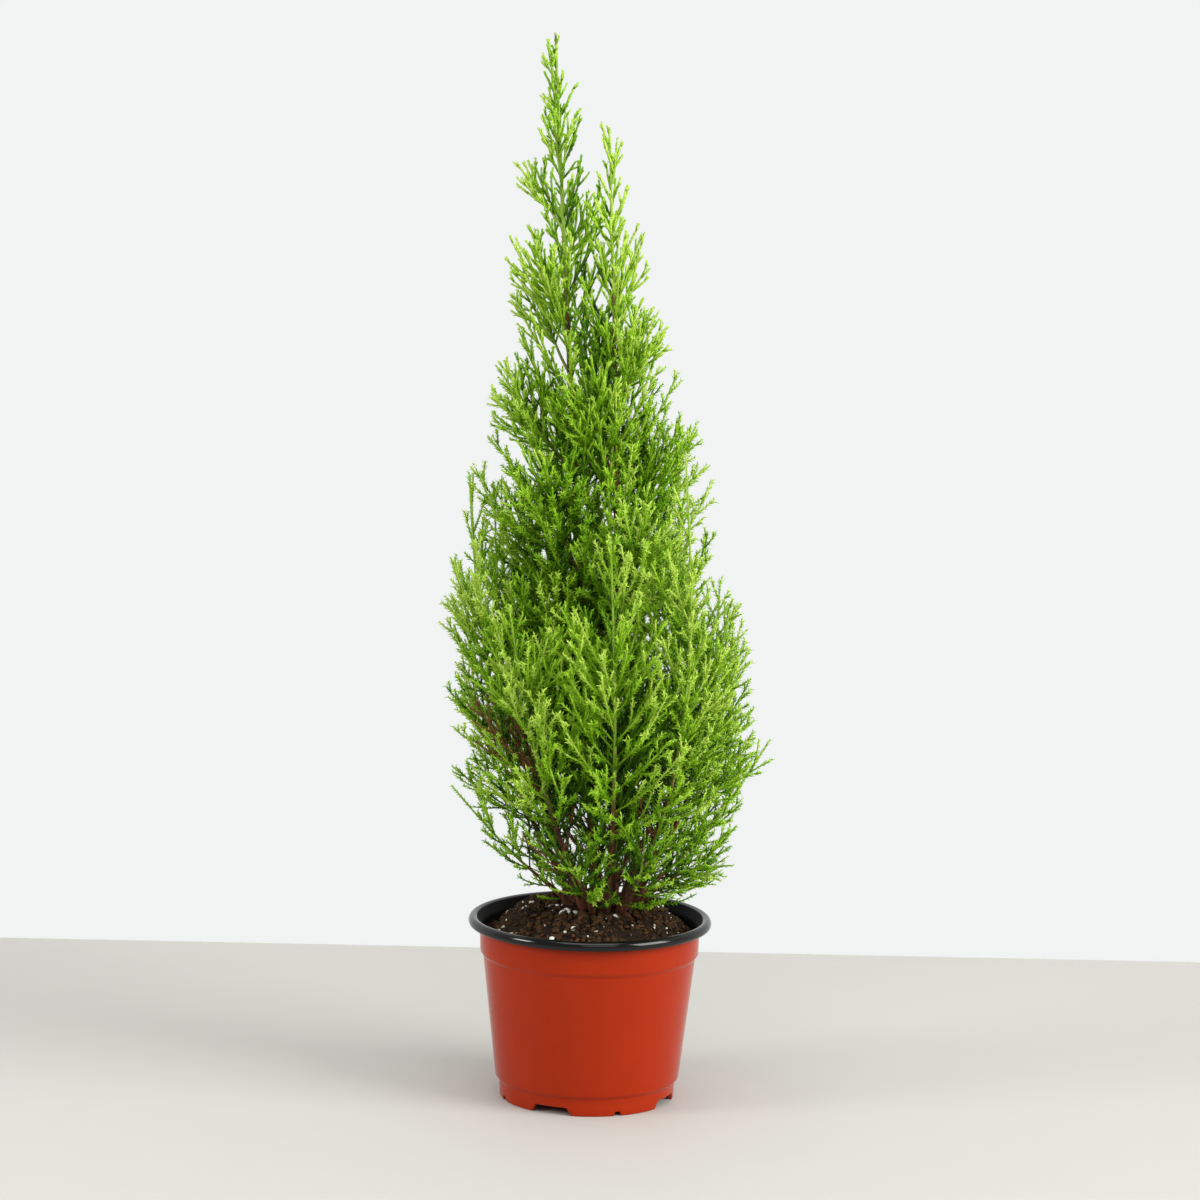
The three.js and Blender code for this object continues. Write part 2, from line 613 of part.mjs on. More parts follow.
const pot = new THREE.Group();
pot.add(makeMesh("pot_outer_layer", potOuterLayer(), "terracotta"));
pot.add(makeMesh("pot_inner_layer", potInnerLayer(), "black"));
pot.add(makeMesh("potting_mix", soilHeap(), "soil"));

const wood = new THREE.Group();
for (const limb of limbs) wood.add(makeMesh(limb.name, limb.geometry, "bark"));

const crown = new THREE.Group();
for (const plume of plumes) crown.add(makeMesh(plume.name, plumeGeometry(plume, plumes, limbs), "foliage"));

const cypress = new THREE.Group();
cypress.add(pot, wood, crown);

export default cypress;
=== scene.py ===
# %% [markdown]
# # A potted lemon cypress
# The plant stands in a six inch nursery pot: terracotta-red plastic outside, and black inside and on its
# glossy rolled rim. A clump of reddish stems rises from dark potting mix, and feathery sprays of golden-green
# shoots climb round them to a main tip and a second, shorter one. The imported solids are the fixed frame, and
# every piece below is worked out in the same millimetres as they are.

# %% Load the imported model
import bpy
import numpy as np
from mathutils import Matrix
from types import SimpleNamespace


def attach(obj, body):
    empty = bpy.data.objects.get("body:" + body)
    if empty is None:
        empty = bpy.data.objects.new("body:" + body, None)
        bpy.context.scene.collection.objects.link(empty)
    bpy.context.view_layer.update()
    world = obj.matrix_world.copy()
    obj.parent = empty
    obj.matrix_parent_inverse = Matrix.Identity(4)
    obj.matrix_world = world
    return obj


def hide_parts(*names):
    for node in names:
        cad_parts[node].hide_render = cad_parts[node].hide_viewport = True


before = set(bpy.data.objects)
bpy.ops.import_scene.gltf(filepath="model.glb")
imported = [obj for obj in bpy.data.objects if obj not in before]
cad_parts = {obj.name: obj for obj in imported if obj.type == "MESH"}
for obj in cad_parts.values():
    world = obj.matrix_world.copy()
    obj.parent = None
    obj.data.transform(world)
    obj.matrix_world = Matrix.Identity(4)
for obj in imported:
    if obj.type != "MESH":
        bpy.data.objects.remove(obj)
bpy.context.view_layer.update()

# %% [markdown]
# ## Small tools
# Every piece is arrays of points and faces, so one function puts arrays into a mesh. Every finish is a
# Principled shader with a few texture nodes, so one function adds a node, and one turns the sRGB colours that
# a picture shows into the linear colours that the shader needs.

# %% Colours and shader nodes


def linear(hex_colour):
    """sRGB to linear, each channel: c / 12.92 when dark, or else ((c + 0.055) / 1.055) to the power 2.4."""
    c = np.array([int(hex_colour[i:i + 2], 16) for i in (1, 3, 5)]) / 255
    return (*np.where(c <= 0.04045, c / 12.92, ((c + 0.055) / 1.055) ** 2.4).tolist(), 1.0)


def add_node(material, kind, inputs=(), **settings):
    """Adds a shader node with its settings. An input that is given a socket is linked, the rest are set."""
    made = material.node_tree.nodes.new(kind)
    for name, value in settings.items():
        setattr(made, name, value)
    for name, value in dict(inputs).items():
        if isinstance(value, bpy.types.NodeSocket):
            material.node_tree.links.new(value, made.inputs[name])
        else:
            made.inputs[name].default_value = value
    return made


def start_material(name):
    """A new material with an empty node tree."""
    material = bpy.data.materials.new(name)
    material.use_nodes = True
    material.node_tree.nodes.clear()
    return material


print("middle grey is", linear("#808080"))

# %% Pieces from arrays
MM = 0.001


def make_piece(name, points, faces, materials, tints=None, smooth=True, young=None):
    """A mesh object from points in millimetres and arrays of faces. Tints are the number of each face's
    material, and young is a number for each point, from 0 on brown bark to 1 on green."""
    faces = [np.asarray(each, np.int32) for each in faces]
    sides = np.concatenate([np.full(len(each), each.shape[1]) for each in faces])
    mesh = bpy.data.meshes.new(name)
    mesh.vertices.add(len(points))
    mesh.vertices.foreach_set("co", (np.asarray(points) * MM).astype(np.float32).ravel())
    mesh.loops.add(int(sides.sum()))
    mesh.loops.foreach_set("vertex_index", np.concatenate([each.ravel() for each in faces]))
    mesh.polygons.add(len(sides))
    mesh.polygons.foreach_set("loop_start", (np.cumsum(sides) - sides).astype(np.int32))
    mesh.polygons.foreach_set("use_smooth", np.full(len(sides), smooth))
    for material in materials:
        mesh.materials.append(material)
    if tints is not None:
        mesh.polygons.foreach_set("material_index", np.asarray(tints, np.int32))
    if young is not None:
        attribute = mesh.attributes.new("young", "FLOAT", "POINT")
        attribute.data.foreach_set("value", np.asarray(young, np.float32))
    mesh.update(calc_edges=True)
    piece = bpy.data.objects.new(name, mesh)
    bpy.context.scene.collection.objects.link(piece)
    return piece


def part_of_plant(piece, slot, *nodes):
    """The piece moves with the plant, and stands in for some solids. Its slot is not used."""
    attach(piece, "root")
    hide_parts(*nodes)
    print(piece.name, len(piece.data.vertices), "points", len(piece.data.polygons), "faces")


print("points are in steps of", MM, "m")

# %% Shares and unit vectors


def lerp(a, b, share):
    """The value a share of the way from a to b."""
    return a + (b - a) * share


def smooth_step(x, low, high):
    """0 below low, 1 above high, and 3t^2 - 2t^3 of the share t between them."""
    t = np.clip((x - low) / (high - low), 0, 1)
    return t * t * (3 - 2 * t)


def unit(vectors):
    """Vectors scaled to length one."""
    return vectors / np.linalg.norm(vectors, axis=-1, keepdims=True)


print("a quarter of the way is", smooth_step(0.25, 0, 1), "of a smooth step")

# %% [markdown]
# ## Studio
# A pale table top ends a little behind the plant, against a bright background. The picture was taken from
# about 2.5 m with a long lens, a little above the plant and looking down about eight degrees, with the
# camera tipped by about one degree. Large soft lamps stand for the daylight: the brightest on the right,
# because the pot's right side and the right of its rim are the lightest. Nothing stands behind the plant, so
# that it shows from every side. The background is the world's own light, bright behind the plant and dim in
# front of it.

# %% Camera
PHOTO_PIXELS = 1200
FOCAL_PIXELS = 4079.0
SENSOR = 36.0
CAMERA_PLACE = np.array([2.2, -2500.0, 678.0])
PITCH, ROLL = np.radians(8.27), np.radians(1.18)

forward = np.array([0, np.cos(PITCH), -np.sin(PITCH)])
upright = np.array([0, np.sin(PITCH), np.cos(PITCH)])
level = np.array([1.0, 0, 0])
right = np.cos(ROLL) * level + np.sin(ROLL) * upright
above = -np.sin(ROLL) * level + np.cos(ROLL) * upright
camera_data = bpy.data.cameras.new("camera")
camera_data.sensor_width = SENSOR
camera_data.lens = FOCAL_PIXELS / PHOTO_PIXELS * SENSOR
camera = bpy.data.objects.new("camera", camera_data)
axes = np.column_stack([right, above, -forward, CAMERA_PLACE * MM])
camera.matrix_world = Matrix([*axes.tolist(), [0, 0, 0, 1]])
bpy.context.scene.collection.objects.link(camera)
bpy.context.scene.camera = camera
bpy.context.scene.view_settings.view_transform = "Standard"
print("lens", round(camera_data.lens, 1), "mm")

# %% Table top
TABLE_BACK = 397.0
TABLE_HALF = 6000.0
TABLE_THICK = 30.0
PAINT_GRAIN, PAINT_DARKEST = 60, 0.975


def matt_paint(name, colour, grain):
    """Matt paint with a faint mottle: noise a few centimetres wide, from the colour to a darker one."""
    paint = start_material(name)
    place = add_node(paint, "ShaderNodeTexCoord").outputs["Object"]
    mottle = add_node(paint, "ShaderNodeTexNoise", {"Vector": place, "Scale": 1 / (grain * MM), "Detail": 3})
    shade = add_node(paint, "ShaderNodeMapRange", {
        "Value": mottle.outputs["Fac"], "To Min": PAINT_DARKEST, "To Max": 1})
    mixed = add_node(paint, "ShaderNodeMix", {
        "A": (0, 0, 0, 1), "B": linear(colour), "Factor": shade.outputs[0]}, data_type="RGBA")
    surface = add_node(paint, "ShaderNodeBsdfPrincipled", {
        "Base Color": mixed.outputs["Result"], "Roughness": 0.7})
    add_node(paint, "ShaderNodeOutputMaterial", {"Surface": surface.outputs[0]})
    return paint


corners = np.array([[x, y, z] for z in (-TABLE_THICK, 0) for y in (-TABLE_HALF, TABLE_BACK)
                    for x in (-TABLE_HALF, TABLE_HALF)])
sides = [[0, 2, 3, 1], [4, 5, 7, 6], [0, 1, 5, 4], [1, 3, 7, 5], [3, 2, 6, 7], [2, 0, 4, 6]]
TABLE_PAINT = matt_paint("table_paint", "#b8b6b0", PAINT_GRAIN)
table = make_piece("table_top", corners, [sides], [TABLE_PAINT], smooth=False)
print("table top", TABLE_THICK, "mm thick, in", TABLE_PAINT.name)

# %% Lamps
LAMPS = {
    "key_right": {"place": (2600, -1300, 1600), "size": 1800, "watts": 112},
    "fill_left": {"place": (-1850, -750, 1000), "size": 620, "watts": 20},
    "top": {"place": (0, -700, 2300), "size": 1600, "watts": 26},
    "front": {"place": (400, -2200, 1500), "size": 1400, "watts": 8},
}
AIM = np.array([0, 0, 330.0])


def soft_lamp(name, place, size, watts):
    """A square area lamp that faces the plant: its -Z axis points from the lamp to the aim."""
    lamp = bpy.data.objects.new(name, bpy.data.lights.new(name, "AREA"))
    lamp.data.size = size * MM
    lamp.data.energy = watts
    away = unit(np.array(place) - AIM)
    side = unit(np.cross([0, 0, 1.0], away))
    turn = np.column_stack([side, np.cross(away, side), away, np.array(place) * MM])
    lamp.matrix_world = Matrix([*turn.tolist(), [0, 0, 0, 1]])
    bpy.context.scene.collection.objects.link(lamp)


for name, lamp in LAMPS.items():
    soft_lamp(name, **lamp)
print(len(LAMPS), "lamps")

# %% Light of the background
BACK_LIGHT, FRONT_LIGHT = 0.91, 0.34
TURN_FROM, TURN_TO = -0.2, 0.4

world = bpy.data.worlds.new("studio_daylight")
world.use_nodes = True
world.node_tree.nodes.clear()
heading = add_node(world, "ShaderNodeTexCoord").outputs["Generated"]
depth = add_node(world, "ShaderNodeSeparateXYZ", {"Vector": heading}).outputs["Y"]
glow = add_node(world, "ShaderNodeMapRange", {"Value": depth, "From Min": TURN_FROM, "From Max": TURN_TO,
                                              "To Min": FRONT_LIGHT, "To Max": BACK_LIGHT})
daylight = add_node(world, "ShaderNodeBackground", {"Color": linear("#fbfefd"), "Strength": glow.outputs[0]})
add_node(world, "ShaderNodeOutputWorld", {"Surface": daylight.outputs[0]})
bpy.context.scene.world = world
print("background", BACK_LIGHT, "behind the plant and", FRONT_LIGHT, "in front of it")

# %% [markdown]
# ## Noise
# Soil, bark and granules need an uneven surface that is real geometry. Value noise gives it: random numbers
# on a lattice, blended smoothly between the lattice points. It works on whole arrays of points at once.

# %% Value noise
WAVE_STEPS, WAVE_SEED, WAVE_SIZE = np.array([127.1, 311.7, 74.7]), 19.19, 43758.5453


def lattice_number(cells, seed):
    """A repeatable number from 0 to 1 for each lattice cell: the fraction of a large multiple of a sine."""
    wave = np.sin(cells @ WAVE_STEPS + seed * WAVE_SEED) * WAVE_SIZE
    return wave - np.floor(wave)


def value_noise(points, grain, seed):
    """Numbers from -1 to 1: lattice numbers at the eight corners round each point, blended by 3t^2 - 2t^3."""
    scaled = points / grain
    cell = np.floor(scaled)
    share = scaled - cell
    share = share * share * (3 - 2 * share)
    total = np.zeros(points.shape[:-1])
    for corner in np.ndindex(2, 2, 2):
        weight = np.prod(np.where(corner, share, 1 - share), axis=-1)
        total += weight * lattice_number(cell + corner, seed)
    return 2 * total - 1


print("noise at the origin", value_noise(np.zeros((1, 3)), 5.0, 1))

# %% [markdown]
# ## Pot
# The pot is one thin moulding of two colours, glossy outside and on its rim, and matt with dust on the
# inside. A turned profile gives its collar, steps and foot band, and each corner of the profile is rounded as
# a mould rounds it. The drainage notches only raise the lower edge of the foot, so they are a function of the
# azimuth: the rows of the foot are squeezed up from the edge. A boolean could cut them too, but this keeps
# the mesh an even grid.

# %% Sizes of the pot, as in the solids
SEAT_GAP = 0.3
POT_HEIGHT, RIM_RADIUS, BEAD_WIDTH, BEAD_HEIGHT = 115, 76.2, 5.4, 6.2
COLLAR_RADIUS, COLLAR_DRAFT, COLLAR_FOOT = 69, 0.7, 92.5
WALL_TOP_RADIUS, WALL_FOOT_RADIUS = 66.5, 57.6
BAND_RADIUS, BAND_HEIGHT, STEP_HEIGHT = 55.2, 11, 2.2
LAYER, FOOT_WIDTH, FOOT_DRAFT, FLOOR_RISE = 0.8, 3.4, 0.6, 5.5
FOOT_SLOPE, FOOT_REACH, FOOT_MIDDLE = 1, 0.9, BAND_RADIUS - FOOT_WIDTH / 2
PAD_RADIUS, PAD_SLOPE = 26, 4


def collar_radius(height):
    """Outside radius of the collar at a height."""
    share = (height - COLLAR_FOOT) / (POT_HEIGHT - BEAD_HEIGHT - COLLAR_FOOT)
    return COLLAR_RADIUS - COLLAR_DRAFT * (1 - share)


def cup_profile(inset, top):
    """The cup that a layer follows, from the middle of its floor to its top, drawn in by an inset."""
    return [(0, inset), (PAD_RADIUS - inset / 2, inset),
            (PAD_RADIUS + PAD_SLOPE - inset / 2, FLOOR_RISE + inset),
            (BAND_RADIUS - FOOT_DRAFT - inset, FLOOR_RISE + inset),
            (BAND_RADIUS - inset, BAND_HEIGHT + inset / 3),
            (WALL_FOOT_RADIUS - inset, BAND_HEIGHT + STEP_HEIGHT + inset / 3),
            (WALL_TOP_RADIUS - inset, COLLAR_FOOT - STEP_HEIGHT + inset / 3),
            (collar_radius(COLLAR_FOOT) - inset, COLLAR_FOOT + inset / 3), (collar_radius(top) - inset, top)]


print("pot", 2 * RIM_RADIUS, "mm across and", POT_HEIGHT, "mm tall")

# %% Turned surfaces with rounded corners
CORNER_POINTS, EDGE_PARTS = 3, 2.5


def rounded(profile, radius):
    """Each inner corner becomes three points: one before it, the middle of a parabola, and one after it. The
    radius is how far they stand from the corner, or a part of the edge where that is short."""
    p = np.array(profile, float)
    before, corner, after = p[:-2], p[1:-1], p[2:]
    reach_in = np.minimum(radius, np.linalg.norm(before - corner, axis=1) / EDGE_PARTS)[:, None]
    reach_out = np.minimum(radius, np.linalg.norm(after - corner, axis=1) / EDGE_PARTS)[:, None]
    first = corner + unit(before - corner) * reach_in
    last = corner + unit(after - corner) * reach_out
    middle = (first + 2 * corner + last) / 4
    return np.concatenate([p[:1], np.stack([first, middle, last], 1).reshape(-1, 2), p[-1:]])


def turned(profile, azimuths):
    """Points of a profile of (radius, height) carried round +Z: x = r cos a, y = r sin a, z = h."""
    radius, height = np.asarray(profile, float).T
    x, y = np.outer(radius, np.cos(azimuths)), np.outer(radius, np.sin(azimuths))
    return np.stack([x, y, np.broadcast_to(height[:, None], x.shape)], -1)


def grid_faces(rows, columns):
    """Quads of a grid numbered row by row, whose last column joins the first."""
    row, column = np.meshgrid(np.arange(rows - 1), np.arange(columns), indexing="ij")
    here, there = row * columns + column, row * columns + (column + 1) % columns
    return np.stack([here, there, there + columns, here + columns], -1).reshape(-1, 4)


def closed_lathe(rows):
    """Points and faces of turned rows that start and end on the axis: quads, and a fan at each end."""
    columns = rows.shape[1]
    body = rows[1:-1].reshape(-1, 3)
    points = np.concatenate([body, rows[:1, 0], rows[-1:, 0]])
    ring = np.arange(columns)
    ahead = (ring + 1) % columns
    last = len(body) - columns
    start_fan = np.stack([np.full(columns, len(body)), ahead, ring], 1)
    end_fan = np.stack([np.full(columns, len(body) + 1), last + ring, last + ahead], 1)
    return points, [grid_faces(len(rows) - 2, columns), start_fan, end_fan]


print("a profile of 4 points has", len(rounded([(0, 0), (9, 0), (9, 9), (0, 9)], 1)), "when it is rounded")

# %% Finishes of the pot
CLOUD_GRAIN, CLOUD_DEPTH, GLOSSIER, DULLER = 22, 0.86, 0.05, 0.08
SCUFF_FROM, SCUFF_TO, SCUFF_MOST = 0.62, 0.85, 0.3
PEEL_GRAIN, PEEL_STRENGTH, PEEL_DEPTH = 1.6, 0.06, 0.4


def moulded_plastic(name, colour, worn, roughness, sheen, speck):
    """Moulded polypropylene: a skin with cloudy colour, a fine orange-peel bump and a few pale scuffs."""
    plastic = start_material(name)
    place = add_node(plastic, "ShaderNodeTexCoord").outputs["Object"]
    cloud = add_node(plastic, "ShaderNodeTexNoise", {
        "Vector": place, "Scale": 1 / (CLOUD_GRAIN * MM), "Detail": 4})
    scuff = add_node(plastic, "ShaderNodeTexNoise", {"Vector": place, "Scale": 1 / (speck * MM), "Detail": 6,
                                                     "Roughness": 0.7})
    scuffed = add_node(plastic, "ShaderNodeMapRange", {
        "Value": scuff.outputs["Fac"], "From Min": SCUFF_FROM, "From Max": SCUFF_TO, "To Max": SCUFF_MOST})
    deep = tuple(CLOUD_DEPTH * c for c in linear(colour)[:3]) + (1.0,)
    tone = add_node(plastic, "ShaderNodeMix", {
        "A": deep, "B": linear(colour), "Factor": cloud.outputs["Fac"]}, data_type="RGBA")
    skin = add_node(plastic, "ShaderNodeMix", {"A": tone.outputs["Result"], "B": linear(worn),
                                               "Factor": scuffed.outputs[0]}, data_type="RGBA")
    gloss = add_node(plastic, "ShaderNodeMapRange", {
        "Value": cloud.outputs["Fac"], "To Min": roughness - GLOSSIER, "To Max": roughness + DULLER})
    peel = add_node(plastic, "ShaderNodeTexNoise", {
        "Vector": place, "Scale": 1 / (PEEL_GRAIN * MM), "Detail": 2})
    bump = add_node(plastic, "ShaderNodeBump", {
        "Height": peel.outputs["Fac"], "Strength": PEEL_STRENGTH, "Distance": PEEL_DEPTH * MM})
    surface = add_node(plastic, "ShaderNodeBsdfPrincipled", {
        "Base Color": skin.outputs["Result"], "Roughness": gloss.outputs[0], "IOR": 1.49,
        "Specular IOR Level": sheen, "Normal": bump.outputs[0]})
    add_node(plastic, "ShaderNodeOutputMaterial", {"Surface": surface.outputs[0]})
    return plastic


TERRACOTTA = moulded_plastic("terracotta_polypropylene", "#a62b05", worn="#b0431f",
                             roughness=0.2, sheen=0.14, speck=7)
BLACK = moulded_plastic("black_polypropylene", "#090807", worn="#181614",
                        roughness=0.12, sheen=0.34, speck=5)
DUSTY_BLACK = moulded_plastic("dusty_black_polypropylene", "#0a0806", worn="#1d1712",
                              roughness=0.6, sheen=0.1, speck=5)
print("plastics", TERRACOTTA.name, BLACK.name, DUSTY_BLACK.name)

# %% Drainage notches
NOTCH_AZIMUTH, NOTCH_TURN = 246, 90
NOTCHES = [{"turn": 0, "foot": 26.6, "top": 20.5, "height": 5},
           {"turn": 45, "foot": 4.8, "top": 3, "height": 2.6}]


def notch_height(azimuths):
    """How far the foot's edge is raised at each azimuth: by the tallest notch there, a trapezoid."""
    height = np.zeros_like(azimuths)
    for notch in NOTCHES:
        turn = np.degrees(azimuths) - NOTCH_AZIMUTH - notch["turn"]
        from_middle = np.abs((turn + NOTCH_TURN / 2) % NOTCH_TURN - NOTCH_TURN / 2)
        off = from_middle * np.radians(1) * FOOT_MIDDLE
        slope = (notch["foot"] - notch["top"]) / 2
        height = np.maximum(height, notch["height"] * np.clip((notch["foot"] / 2 - off) / slope, 0, 1))
    return height


def notch_corners():
    """Azimuths of every corner of the notches, so that the grid has a column at each."""
    found = []
    for notch in NOTCHES:
        for width in (notch["foot"], notch["top"]):
            half = np.degrees(width / 2 / FOOT_MIDDLE)
            middle = NOTCH_AZIMUTH + notch["turn"] + NOTCH_TURN * np.arange(360 // NOTCH_TURN)
            found += [middle - half, middle + half]
    return np.concatenate(found) % 360


print(len(notch_corners()), "corners of notches round the foot")

# %% Terracotta outside of the pot
POT_COLUMNS, LEAST_COLUMN, SHELL_ROUND = 192, 0.5, 0.7

even = np.arange(POT_COLUMNS) * 360 / POT_COLUMNS
edges = notch_corners()
crowded = np.abs((even[:, None] - edges + 180) % 360 - 180).min(1) < LEAST_COLUMN
azimuths = np.radians(np.sort(np.concatenate([even[~crowded], edges])))
collar_top = POT_HEIGHT - BEAD_HEIGHT - SEAT_GAP
underside = [(0, 0), (PAD_RADIUS, 0), (PAD_RADIUS + PAD_SLOPE, FLOOR_RISE),
             (BAND_RADIUS - FOOT_WIDTH - FOOT_SLOPE, FLOOR_RISE), (BAND_RADIUS - FOOT_WIDTH, 0),
             (BAND_RADIUS - FOOT_DRAFT, 0), (BAND_RADIUS - FOOT_DRAFT / 2, FLOOR_RISE)]
outside = cup_profile(0, collar_top)[4:]
inside = cup_profile(LAYER, collar_top)[::-1]
shell_rows = turned(rounded(underside + outside + inside, SHELL_ROUND), azimuths)
from_axis = np.hypot(shell_rows[..., 0], shell_rows[..., 1])
in_foot = (from_axis > BAND_RADIUS - FOOT_WIDTH - FOOT_REACH) & (shell_rows[..., 2] < FLOOR_RISE)
raised = np.broadcast_to(notch_height(azimuths), in_foot.shape)
squeezed = raised + shell_rows[..., 2] * (1 - raised / FLOOR_RISE)
shell_rows[..., 2] = np.where(in_foot, squeezed, shell_rows[..., 2])
shell = make_piece("pot_outside", *closed_lathe(shell_rows), [TERRACOTTA])
part_of_plant(shell, "terracotta_plastic", "pot_outer_layer")

# %% Black inside of the pot and its rolled rim
RIM_ROUND = 0.9

bead_foot = POT_HEIGHT - BEAD_HEIGHT
bead_middle = RIM_RADIUS - BEAD_WIDTH / 2
mouth = RIM_RADIUS - BEAD_WIDTH
# Outline of the rolled rim, from its foot out and over the top to the mouth
bead = [(bead_middle + 1, bead_foot), (RIM_RADIUS - 0.4, bead_foot + 1.2), (RIM_RADIUS, bead_foot + 3),
        (RIM_RADIUS - 0.9, POT_HEIGHT - 1), (bead_middle, POT_HEIGHT), (mouth, POT_HEIGHT - 0.7),
        (mouth - 1.4, POT_HEIGHT - 3)]
back = cup_profile(LAYER + SEAT_GAP, bead_foot)
front = cup_profile(2 * LAYER + SEAT_GAP, bead_foot)[::-1]
lining_rows = turned(rounded(back + bead + front, RIM_ROUND), np.radians(even))
# The dusty faces start at the middle of the mouth's rounded corner, and end in the fan at the pot's floor
mouth_corner = len(back) + len(bead) - 2
ring = np.arange(len(lining_rows) - 3)
dusty = np.repeat(ring >= CORNER_POINTS * (mouth_corner - 1) + 1, POT_COLUMNS)
dusty = np.concatenate([dusty, np.repeat([False, True], POT_COLUMNS)])
lining = make_piece("pot_lining", *closed_lathe(lining_rows), [BLACK, DUSTY_BLACK], dusty)
part_of_plant(lining, "black_plastic", "pot_inner_layer")

# %% [markdown]
# ## Potting mix
# The mix is damp peat with bark chips and white perlite. Its surface is a round heap with noise of three
# grains on it. A bump in the material alone would look smooth at the edge, so crumbs, chips and perlite are
# real little lumps, each a jittered twenty-faced ball or a sliver, scattered and joined by kind.

# %% Finishes of the potting mix


def crumbly(name, dark, light, grain, roughness):
    """A matt crumb: noise between a dark and a light colour, and a bump of the same grain."""
    crumb = start_material(name)
    place = add_node(crumb, "ShaderNodeTexCoord").outputs["Object"]
    noise = add_node(crumb, "ShaderNodeTexNoise", {"Vector": place, "Scale": 1 / (grain * MM), "Detail": 5,
                                                   "Roughness": 0.65})
    spread = add_node(crumb, "ShaderNodeMapRange", {
        "Value": noise.outputs["Fac"], "From Min": 0.3, "From Max": 0.7})
    tone = add_node(crumb, "ShaderNodeMix", {
        "A": linear(dark), "B": linear(light), "Factor": spread.outputs[0]}, data_type="RGBA")
    bump = add_node(crumb, "ShaderNodeBump", {
        "Height": noise.outputs["Fac"], "Strength": 0.6, "Distance": MM})
    surface = add_node(crumb, "ShaderNodeBsdfPrincipled", {
        "Base Color": tone.outputs["Result"], "Roughness": roughness, "Specular IOR Level": 0.2,
        "Normal": bump.outputs[0]})
    add_node(crumb, "ShaderNodeOutputMaterial", {"Surface": surface.outputs[0]})
    return crumb


PEAT = crumbly("damp_peat", "#0d0804", "#2f2014", grain=2.2, roughness=0.92)
CRUMB = crumbly("peat_crumbs", "#150d06", "#593f24", grain=2.2, roughness=0.9)
CHIP = crumbly("bark_chips", "#38200f", "#6b4529", grain=3, roughness=0.8)
PERLITE = crumbly("expanded_perlite", "#cfcbc0", "#f4f2ec", grain=1.2, roughness=0.75)
print("mix", PEAT.name, CRUMB.name, CHIP.name, PERLITE.name)

# %% Heap of peat
SOIL_EDGE, SOIL_TOP, SOIL_CROWN_RADIUS = 103.5, 122, 35
SOIL_RADIUS = collar_radius(SOIL_EDGE) - 2 * (LAYER + SEAT_GAP)
SOIL_ROWS, SOIL_COLUMNS = 90, 220
SOIL_FLOOR = 60.0
FLOOR_INSET, SHOULDER_INSET, SHOULDER_DROP = 3, 3.2, 3
CLODS = [{"height": 2.6, "grain": 13, "seed": 3}, {"height": 2.2, "grain": 5.5, "seed": 4},
         {"height": 0.9, "grain": 2.3, "seed": 5}]
CLOD_SINK = 1.2


def soil_height(x, y):
    """Height of the heap: level on its crown, falling to the wall by 3t^2 - 2t^3, with clods on it."""
    from_crown = smooth_step(np.hypot(x, y), SOIL_RADIUS, SOIL_CROWN_RADIUS)
    flat = np.stack([x, y, np.zeros_like(x)], -1)
    clods = sum(clod["height"] * value_noise(flat, clod["grain"], clod["seed"]) for clod in CLODS)
    return SOIL_EDGE + (SOIL_TOP - SOIL_EDGE) * from_crown + clods - CLOD_SINK


radii = np.linspace(0, SOIL_RADIUS, SOIL_ROWS)
around = np.arange(SOIL_COLUMNS) * 2 * np.pi / SOIL_COLUMNS
heap_rows = turned(np.column_stack([radii[::-1], np.zeros(SOIL_ROWS)]), around)
heap_rows[..., 2] = soil_height(heap_rows[..., 0], heap_rows[..., 1])
wall_share = (SOIL_FLOOR - BAND_HEIGHT) / (COLLAR_FOOT - BAND_HEIGHT)
floor_radius = lerp(WALL_FOOT_RADIUS, WALL_TOP_RADIUS, wall_share) - FLOOR_INSET
shoulder = (WALL_TOP_RADIUS - SHOULDER_INSET, COLLAR_FOOT - SHOULDER_DROP)
below = turned([(0, SOIL_FLOOR), (floor_radius, SOIL_FLOOR), shoulder], around)
heap = make_piece("peat_heap", *closed_lathe(np.concatenate([below, heap_rows])), [PEAT])
part_of_plant(heap, "potting_mix", "potting_mix")

# %% A ball with twenty faces
GOLDEN_RATIO = (1 + 5 ** 0.5) / 2
BALL = unit(np.array([[0, s, t * GOLDEN_RATIO] for s in (1, -1) for t in (1, -1)]
                     + [[s, t * GOLDEN_RATIO, 0] for s in (1, -1) for t in (1, -1)]
                     + [[t * GOLDEN_RATIO, 0, s] for s in (1, -1) for t in (1, -1)]))


def ball_faces():
    """The twenty faces of the ball: every three corners that are all one edge apart, turned outwards."""
    edge = np.linalg.norm(BALL[:, None] - BALL, axis=-1).round(4)
    near = (edge > 0) & (edge == edge[edge > 0].min())
    triple = np.array([(i, j, k) for i in range(len(BALL)) for j in range(i) for k in range(j)
                       if near[i, j] and near[j, k] and near[i, k]])
    a, b, c = BALL[triple[:, 0]], BALL[triple[:, 1]], BALL[triple[:, 2]]
    outwards = (np.cross(b - a, c - a) * a).sum(1) > 0
    return np.where(outwards[:, None], triple, triple[:, ::-1])


print(len(BALL), "corners and", len(ball_faces()), "faces on the ball")

# %% Crumbs, perlite and chips
SCATTER = {"peat_crumbs": {"count": 3700, "least": 0.7, "most": 4.0, "stretch": 1.2},
           "perlite": {"count": 230, "least": 0.3, "most": 3.8, "stretch": 1.2},
           "bark_chips": {"count": 150, "least": 1.4, "most": 4.6, "stretch": 2.3}}
SCATTER_INSET = 2.5
FEW_LARGE, JITTER, FLATNESS, LUMP_LIFT = 2.2, 0.5, 0.45, 0.2
mix_draw = np.random.default_rng(11)


